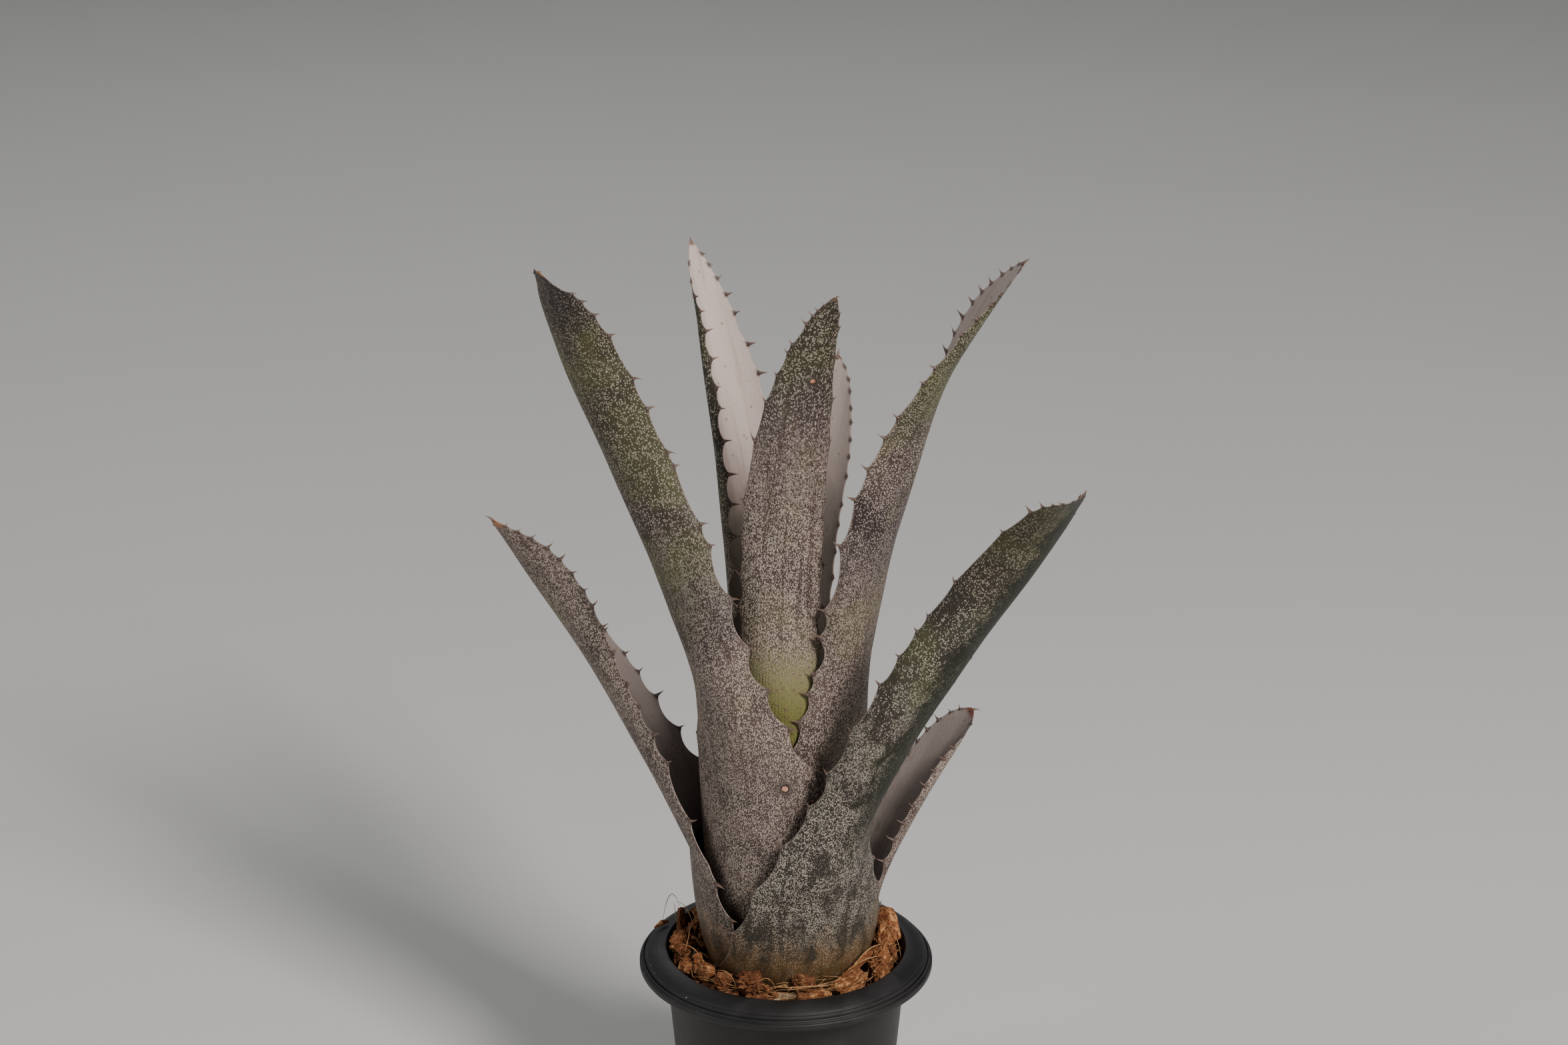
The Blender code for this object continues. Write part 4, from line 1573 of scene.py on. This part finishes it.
@dataclass
class PottingMix:
    """Husk chips, grains, crumbs and fibres on the coir bed, with the stem below."""

    seed: int = 23
    voxel: float = 0.00055  # mesh size of the chips
    bed_voxel: float = 0.0014
    crumbs: int = 420
    crumb_size: tuple[float, float] = (0.0005, 0.0021)
    crumb_pile: float = 0.0070  # how high crumbs lie above the bed
    fibres: int = 420
    fibre_length: tuple[float, float] = (0.004, 0.014)
    fibre_radius: tuple[float, float] = (0.00007, 0.00019)
    inner_radius: float = 0.0345  # the ring of bed that shows between the plant and the wall
    outer_radius: float = 0.0476

    @cached_property
    def bed_top(self) -> float:
        """Height of the coir bed's top in the frame."""
        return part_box("coir_bed")[1][2]

    @cached_property
    def mouth(self) -> float:
        """Height of the pot's mouth in the frame."""
        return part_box("pot")[1][2]

    def build(self) -> None:
        """Make every piece of the mix."""
        rng = random.Random(self.seed)
        husk = HuskFinish().material()
        pumice = PlainGrainFinish("pumice", (0.66, 0.58, 0.44), (0.36, 0.29, 0.20), 900.0).material()
        bark = PlainGrainFinish("pale_bark", (0.74, 0.62, 0.42), (0.46, 0.33, 0.18), 500.0).material()
        kinds = {
            "husk_chip": (husk, Slot.HUSK, 0.00075),
            "pumice_grain": (pumice, Slot.PUMICE, 0.00030),
            "pale_flake": (bark, Slot.PALE_BARK, 0.00020),
        }
        for node in sorted(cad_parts):
            for kind, (finish, slot, rough) in kinds.items():
                if node.startswith(kind):
                    self.chip(node, finish, slot, rough, rng)
        self.bed()
        self.stem()
        self.heap(husk)
        self.crumb_layer(husk, rng)
        self.fibre_layer(rng)

    def chip(
        self, node: str, finish: bpy.types.Material, slot: Slot, rough: float, rng: random.Random
    ) -> None:
        """One chip: the solid's form, broken up along its grain.

        Args:
            node: the CAD node it stands for.
            finish: its material.
            slot: its material slot.
            rough: how far its surface is broken up, in metres.
            rng: the mix's random draws.
        """
        piece = even_copy(node, f"{node}_body", self.voxel)
        points, normals = corner_rows(piece.data, "co"), corner_rows(piece.data, "normal")
        centre = points.mean(0)
        grain = np.linalg.svd(points - centre, full_matrices=False)[2]
        local = (points - centre) @ grain.T
        shift = rng.uniform(0, 50)
        moved = np.empty(len(points))
        for k, (x, y, z) in enumerate(local):
            coarse = noise.noise(Vector((x * 180 + shift, y * 420, z * 420)))
            fibre = noise.noise(Vector((x * 260 + shift, y * 1500, z * 1500)))
            crumb = noise.noise(Vector((x * 1100, y * 1100 + shift, z * 1100)))
            moved[k] = coarse * 0.9 + fibre * 0.8 + crumb * 0.4 - 0.35
        points = points + normals * (moved * rough)[:, None]
        piece.data.vertices.foreach_set("co", points.ravel())
        shade = np.full(len(points), rng.random())
        dress(piece.data, finish, {"grain": local[:, 0], "ring": local[:, 1] + local[:, 2], "shade": shade})
        settle(piece, slot, node)

    def bed(self) -> None:
        """The coir bed: the same block with a crumbled top."""
        piece = even_copy("coir_bed", "coir_bed_block", self.bed_voxel)
        top = self.bed_top
        for vertex in piece.data.vertices:
            out = math.hypot(vertex.co.x, vertex.co.y)
            if vertex.co.z > top - 0.004 and out < self.outer_radius - 0.001:
                vertex.co.z += 0.0009 * (noise.noise(vertex.co * 500) - 0.4)
        coir = PlainGrainFinish("coir", (0.17, 0.075, 0.030), (0.035, 0.015, 0.008), 420.0, 0.0012)
        dress(piece.data, coir.material(), {})
        settle(piece, Slot.COIR, "coir_bed")

    def stem(self) -> None:
        """The stem keeps its solid form and takes a fibrous finish."""
        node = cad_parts["stem"]
        finish = PlainGrainFinish("stem_fibre", (0.34, 0.30, 0.16), (0.14, 0.11, 0.05), 300.0).material()
        node.data.materials.clear()
        node.data.materials.append(finish)

    def heap(self, finish: bpy.types.Material) -> None:
        """The larger loose pieces on top.

        Args:
            finish: their material.
        """
        ball, faces = icosphere(5)
        heap = Cluster()
        for index, lump in enumerate(LUMPS):
            local = self.lump_shape(lump, ball, index)
            placed = turned(local, math.radians(lump.rake), math.radians(lump.turn))
            place = np.array([lump.x * MM, -lump.front * MM, self.mouth + lump.up * MM])
            heap.add(
                placed + place, faces, grain=local[:, 0] + index * 0.05, ring=local[:, 1] + local[:, 2],
                shade=np.full(len(ball), lump.tone),
            )
        settle(heap.piece("husk_heap", finish), Slot.HUSK)

    def lump_shape(self, lump: Lump, ball: np.ndarray, index: int) -> np.ndarray:
        """A lump's form: blocky, chipped, and broken and grooved along its grain.

        Args:
            lump: the lump.
            ball: the corners of a unit ball.
            index: its number, which sets its irregularities.

        Returns:
            The ball's corners moved onto the form, with the grain along X.
        """
        half = np.array(lump.size) * MM / 2
        reach = np.max(np.abs(ball), axis=1, keepdims=True)
        blocky = ball / reach ** (1 - lump.square)
        local = blocky / np.max(np.abs(blocky)) * half
        shift = Vector((index * 7.3, index * 3.1, 0.0))
        moved = np.array([
            0.8 * noise.noise(Vector((x * 190, y * 330, z * 330)) + shift)
            + 0.8 * noise.noise(Vector((x * 320, y * 1500, z * 1500)) + shift)
            + 0.6 * noise.noise(Vector((x * 1500, y * 1700, z * 1700)) + shift)
            - 5.0 * max(0.0, 0.16 - abs(noise.noise(Vector((x * 110, y * 620, z * 620)) + shift)))
            for x, y, z in local
        ])
        local = self.chipped(local, half, 1 - lump.square, index)
        return local + ball * (moved * lump.rough * float(half.min()) * 1.3)[:, None]

    @staticmethod
    def chipped(points: np.ndarray, half: np.ndarray, blockiness: float, seed: int) -> np.ndarray:
        """Knock flat facets off a lump.

        Args:
            points: its corners.
            half: its half-sizes.
            blockiness: how deep the facets go, 0 to 1.
            seed: which facets.

        Returns:
            The corners, moved onto the facets that they stood out of.
        """
        rng = np.random.default_rng(seed + 5)
        shaped = points / half
        for normal in unit(rng.normal(size=(12, 3))):
            beyond = np.maximum(shaped @ normal - rng.uniform(0.72, 1.10) + 0.15 * blockiness, 0.0)
            shaped = shaped - beyond[:, None] * normal
        return shaped * half

    def crumb_layer(self, finish: bpy.types.Material, rng: random.Random) -> None:
        """Small broken bits that fill the gaps between the chips.

        Args:
            finish: their material.
            rng: the mix's random draws.
        """
        ball, faces = icosphere(2)
        layer = Cluster()
        for _ in range(self.crumbs):
            angle = rng.uniform(0, math.tau)
            out = rng.uniform(self.inner_radius, self.outer_radius)
            size = rng.uniform(*self.crumb_size)
            stretch = np.array([rng.uniform(0.9, 2.2), rng.uniform(0.6, 1.0), rng.uniform(0.5, 0.9)])
            turn = rng.uniform(0, math.tau)
            shift = Vector((rng.uniform(0, 100), 0, 0))
            lumps = np.array([1 + 0.45 * noise.noise(Vector(p) * 1.9 + shift) for p in ball])
            spun = turned(ball * lumps[:, None] * stretch * size, 0.0, turn)
            height = self.bed_top + size * 0.5 + rng.uniform(0.0, self.crumb_pile)
            points = spun + round_the_pot(angle, out, height)
            shade = np.full(len(ball), rng.random())
            layer.add(points, faces, grain=points[:, 0], ring=points[:, 1] + points[:, 2], shade=shade)
        settle(layer.piece("coir_crumbs", finish), Slot.HUSK)

    def fibre_layer(self, rng: random.Random) -> None:
        """Loose husk fibres lying over the chips: many short ones, then the long strands.

        Args:
            rng: the mix's random draws.
        """
        finish = PlainGrainFinish("husk_fibre", (0.58, 0.34, 0.16), (0.26, 0.11, 0.045), 1500.0).material()
        layer = Cluster()
        for _ in range(self.fibres):
            layer.add(*tube(*self.short_fibre(rng), 5))
        for strand in STRANDS:
            ends = np.array([strand.start, strand.middle, strand.end]) * MM * np.array([1, -1, 1])
            share = np.linspace(0.0, 1.0, 14)[:, None]
            line = (1 - share) ** 2 * ends[0] + 2 * share * (1 - share) * ends[1] + share**2 * ends[2]
            line = line + np.array([0.0, 0.0, self.mouth])
            radii = strand.thick * MM / 2 * np.sin(np.linspace(0.3, math.pi - 0.3, 14))
            layer.add(*tube(line, radii, 6))
        settle(layer.piece("husk_fibres", finish), Slot.HUSK)

    def short_fibre(self, rng: random.Random) -> tuple[np.ndarray, np.ndarray]:
        """One short fibre that stays inside the ring of bed that shows.

        Args:
            rng: the mix's random draws.

        Returns:
            Its line and its radii.
        """
        angle = rng.uniform(0, math.tau)
        out = rng.uniform(self.inner_radius + 0.001, self.outer_radius - 0.001)
        start = round_the_pot(angle, out, self.bed_top + rng.uniform(0.004, 0.0115))
        heading = angle + rng.uniform(-0.7, 0.7)
        way = np.array([math.cos(heading), math.sin(heading), rng.uniform(-0.15, 0.25)])
        curl = np.array([-math.sin(heading), math.cos(heading), rng.uniform(-0.6, 0.4)])
        curl = curl * rng.uniform(-1, 1)
        length = rng.uniform(*self.fibre_length)
        share = np.linspace(0.0, 1.0, 9)[:, None]
        line = start + way * length * (share - 0.5) + curl * length * 0.5 * (share - 0.5) ** 2
        reach = np.hypot(line[:, 0], line[:, 1])
        line[:, :2] *= (np.clip(reach, self.inner_radius, self.outer_radius) / reach)[:, None]
        return line, rng.uniform(*self.fibre_radius) * np.sin(np.linspace(0.25, math.pi - 0.25, 9))


# ------------------------------------------------------------ studio


@dataclass
class Studio:
    """Pale floor, soft light and the camera."""

    lens: float = 81.2
    sensor: float = 36.0
    distance: float = 1.384
    pitch: float = 20.7  # degrees that the camera looks down
    aim: Point = (-0.0008, 0.0, 0.294)
    lit: Point = (0.0, 0.0, 0.22)  # where the lamps are aimed
    floor_half: float = 9.0
    floor_gap: float = 0.0002  # the floor's top lies this far under the pot
    floor_tones: tuple[Colour, Colour] = ((0.60, 0.60, 0.59), (0.64, 0.64, 0.63))
    surround: Colour = (0.80, 0.82, 0.85)
    surround_strength: float = 0.17

    def build(self) -> None:
        """Set the floor, the world, the lights and the camera."""
        self.floor()
        self.world()
        self.light("key", (1.05, -1.40, 1.60), 0.5, 58.0, (1.0, 0.955, 0.905))
        self.light("side", (-1.65, -0.55, 1.15), 1.0, 11.0, (1.0, 0.98, 0.95))
        self.light("back", (-0.3, 1.7, 1.9), 1.4, 9.0, (1.0, 1.0, 1.0))
        self.camera()

    def floor(self) -> None:
        """A wide pale floor."""
        size = self.floor_half
        corners = np.array([[-size, -size, 0], [size, -size, 0], [size, size, 0], [-size, size, 0]])
        s = Shader("studio_floor")
        tone = s.clouds(s.place(), 3.0, 2.0)
        finish = s.finish(base_color=s.blend(tone, *self.floor_tones), roughness=0.9)
        corners = corners - np.array([0, 0, self.floor_gap])
        new_piece("studio_floor", corners, [(0, 1, 2, 3)], finish)

    def world(self) -> None:
        """An even pale surround."""
        world = bpy.data.worlds.new("studio")
        world.use_nodes = True
        backdrop = world.node_tree.nodes["Background"]
        backdrop.inputs["Color"].default_value = (*self.surround, 1.0)
        backdrop.inputs["Strength"].default_value = self.surround_strength
        bpy.context.scene.world = world

    def light(self, name: str, place: Point, size: float, power: float, colour: Colour) -> None:
        """One soft square light aimed at the plant.

        Args:
            name: the lamp's name.
            place: where it hangs.
            size: its side.
            power: its watts.
            colour: its colour.
        """
        data = bpy.data.lights.new(name, "AREA")
        data.shape = "SQUARE"
        data.size = size
        data.energy = power
        data.color = colour
        lamp = bpy.data.objects.new(name, data)
        lamp.location = place
        lamp.rotation_euler = (Vector(self.lit) - Vector(place)).to_track_quat("-Z", "Y").to_euler()
        bpy.context.scene.collection.objects.link(lamp)

    def camera(self) -> None:
        """The camera, in front of the plant and looking down on it."""
        data = bpy.data.cameras.new("camera")
        data.lens = self.lens
        data.sensor_width = self.sensor
        pitch = math.radians(self.pitch)
        aim = Vector(self.aim)
        camera = bpy.data.objects.new("camera", data)
        camera.location = aim + Vector((0, -math.cos(pitch), math.sin(pitch))) * self.distance
        camera.rotation_euler = (math.pi / 2 - pitch, 0, 0)
        bpy.context.scene.collection.objects.link(camera)
        bpy.context.scene.camera = camera


# ------------------------------------------------------------ the whole plant


LEAVES = (
    Leaf(
        "leaf_front_right", azimuth=23, rank=0, parting=0.046, lean=18, reach=0.111, sway=0.049, height=0.249,
        tip_lean=64, tip_turn=-23, sheath_wrap=68.5, blade_half=0.0165, channel=66, twist=-4, taper_from=0.50,
        finish=LeafFinish(
            "front_right", 3.0, cover=0.50, green=0.30, blotches=0.75, fine_below=130.0, dark_and_shaded_side=0.5,
            stretches=(Stretch(Tone.SOOTY, 16.0), Stretch(Tone.OLIVE, 90.0), Stretch(Tone.GREY, 150.0)),
            base=Tone.SILVER,
        ),
        teeth_left=(5, 12, 20, 29, 39, 60, 93, 112, 120), right_foot=0.62, forward=0.0, hook=(0.2, 0.0, 0.6),
        hook_length=0.003,
    ),
    Leaf(
        "leaf_low_left", azimuth=-102, rank=1, parting=0.055, lean=30, reach=0.082, sway=-0.003, height=0.185,
        tip_lean=32, tip_turn=26, sheath_wrap=68.0, blade_half=0.0230, channel=65, twist=22, taper_from=0.55,
        finish=LeafFinish(
            "low_left", 17.0, cover=0.66, green=0.25, blotches=0.35, inner_light=0.55, shade_well=(110.0, 40.0),
            tip_colour=(0.46, 0.20, 0.09), tip_length=6.0,
        ),
        tip_twist=26.0, forward=0.1, hook=(1.0, 0.0, 0.2),
    ),
    Leaf(
        "leaf_low_right", azimuth=111, rank=2, parting=0.018, lean=21, reach=0.048, sway=-0.003, height=0.103,
        tip_lean=35, tip_turn=-14, sheath_wrap=80.9, blade_half=0.0160, channel=28, twist=-2, taper_from=0.50,
        finish=LeafFinish(
            "low_right", 29.0, cover=0.55, green=0.3, blotches=0.6, inner_light=0.50, shade_well=(50.0, 10.0),
            tip_colour=(0.20, 0.06, 0.04), tip_length=4.0,
        ),
        curl_left=60.0, bluntness=3.4, hook=(0.6, -0.4, -0.5), hook_length=0.006,
    ),
    Leaf(
        "leaf_back", azimuth=177, rank=3, parting=0.073, lean=6, reach=0.048, sway=-0.017, height=0.236,
        tip_lean=32, tip_turn=-28, sheath_wrap=80.2, blade_half=0.0160, channel=52, twist=1, taper_from=0.70,
        finish=LeafFinish("back", 41.0, cover=0.52, inner_light=0.50, shade_well=(215.0, 160.0), base=Tone.GREY),
        spine_length=0.0020,
    ),
    Leaf(
        "leaf_tall_left", azimuth=-36, rank=4, parting=0.097, lean=11, reach=0.049, sway=-0.052, height=0.307,
        tip_lean=40, tip_turn=25, sheath_wrap=92.1, blade_half=0.0185, channel=60, twist=-3, taper_from=0.65,
        finish=LeafFinish(
            "tall_left", 53.0, cover=0.54, green=0.34, blotches=0.30, tip_colour=(0.40, 0.17, 0.06),
            stretches=(
                Stretch(Tone.SOOTY, 30.0), Stretch(Tone.OLIVE, 108.0), Stretch(Tone.PLUM, 126.0),
                Stretch(Tone.OLIVE, 150.0), Stretch(Tone.PLUM, 172.0),
            ),
            scars=(Scar(21.5, 101.0, 1.6, (0.60, 0.32, 0.22)), Scar(32.0, 95.0, 0.9, (0.45, 0.26, 0.17))),
        ),
        teeth_right=(12, 18, 27, 40, 62, 76, 95, 101, 126, 135, 157, 177, 194, 208, 224),
        bluntness=3.6, scallop=0.0028, forward=-0.45, hook=(0.3, 0.0, 1.0), hook_length=0.003,
    ),
    Leaf(
        "leaf_back_left", azimuth=-160, rank=5, parting=0.099, lean=3, reach=0.034, sway=0.016, height=0.292,
        tip_lean=25, tip_turn=13, sheath_wrap=90.4, blade_half=0.0195, channel=61, twist=21, taper_from=0.50,
        finish=LeafFinish(
            "back_left", 61.0, cover=0.60, green=0.35, shade_well=(222.0, 172.0), tip_colour=(0.30, 0.17, 0.13),
            tip_length=3.0, base=Tone.GREY,
        ),
        bluntness=1.9, scallop_share=0.22, curl_right=90.0, teeth_left=(6, 11, 17, 24, 32, 45, 57),
        teeth_right=(9, 16, 22, 28, 36, 47, 58, 66, 79, 92, 104), scallop=0.0048, forward=0.0,
        hook=(0.0, 0.0, 1.0), hook_length=0.0035,
    ),
    Leaf(
        "leaf_tall_right", azimuth=52, rank=6, parting=0.093, lean=3, reach=0.069, sway=0.014, height=0.315,
        tip_lean=39, tip_turn=-6, sheath_wrap=104.6, blade_half=0.0190, channel=49, twist=-4, taper_from=0.50,
        finish=LeafFinish(
            "tall_right", 71.0, cover=0.56, green=0.35, blotches=0.25, inner_light=0.70,
            stretches=(
                Stretch(Tone.SOOTY, 10.0), Stretch(Tone.OLIVE, 88.0), Stretch(Tone.ROSY, 112.0),
                Stretch(Tone.PLUM, 152.0),
            ),
        ),
        curl_left=26.0, curl_from=0.66, curl_end=0.10, tip_twist=36.0,
        teeth_left=(3, 9, 14, 19, 27, 36, 53, 61, 79, 89, 104, 118, 138, 165, 176, 191, 199, 210, 224),
        scallop=0.0028, forward=0.25, hook=(0.9, 0.0, 0.5),
    ),
    Leaf(
        "leaf_centre", azimuth=-6, rank=7, parting=0.102, lean=1, reach=0.005, sway=0.022, height=0.297,
        tip_lean=27, tip_turn=47, sheath_wrap=98.5, blade_half=0.0175, channel=48, twist=20, taper_from=0.45,
        finish=LeafFinish(
            "centre", 83.0, cover=0.62, green=0.30, blotches=0.10, fine_below=235.0, rib=1.25,
            pale_base=144.0,
            stretches=(Stretch(Tone.SOOTY, 6.0), Stretch(Tone.OLIVE, 40.0), Stretch(Tone.PLUM, 62.0)),
            scars=(Scar(1.5, 268.0, 1.2, (0.50, 0.24, 0.15)),),
        ),
        teeth_left=(5, 8, 11, 15, 26, 30, 40, 52, 68, 92), teeth_right=(8, 15, 30, 48, 66, 90), forward=0.4,
        hook=(0.5, 0.9, 0.5), hook_length=0.004,
    ),
    Leaf(
        "leaf_heart", azimuth=131, rank=8, parting=0.070, lean=-6, reach=-0.020, sway=0.000, height=0.170,
        tip_lean=4, tip_turn=0, sheath_wrap=89.6, blade_half=0.0090, channel=95, twist=0, taper_from=0.55,
        finish=LeafFinish("heart", 97.0, cover=0.30, green=0.8, pale_base=140.0, inner_light=0.5),
    ),
)


@dataclass(frozen=True)
class Rosette:
    """The plant's leaves, oldest first, with the same design values as the solid model."""

    bed: float  # height of the coir bed's top

    def build(self) -> None:
        """Make every leaf with its spines."""
        horn = SpineFinish().material()
        for leaf in LEAVES:
            leaf.build(self.bed, horn)


def main() -> None:
    """Build the studio, the pot, the potting mix and the rosette."""
    logging.basicConfig(level=logging.INFO, format="%(name)s %(message)s")
    Studio().build()
    Pot().build()
    mix = PottingMix()
    mix.build()
    Rosette(mix.bed_top).build()


if __name__ == "__main__":
    main()
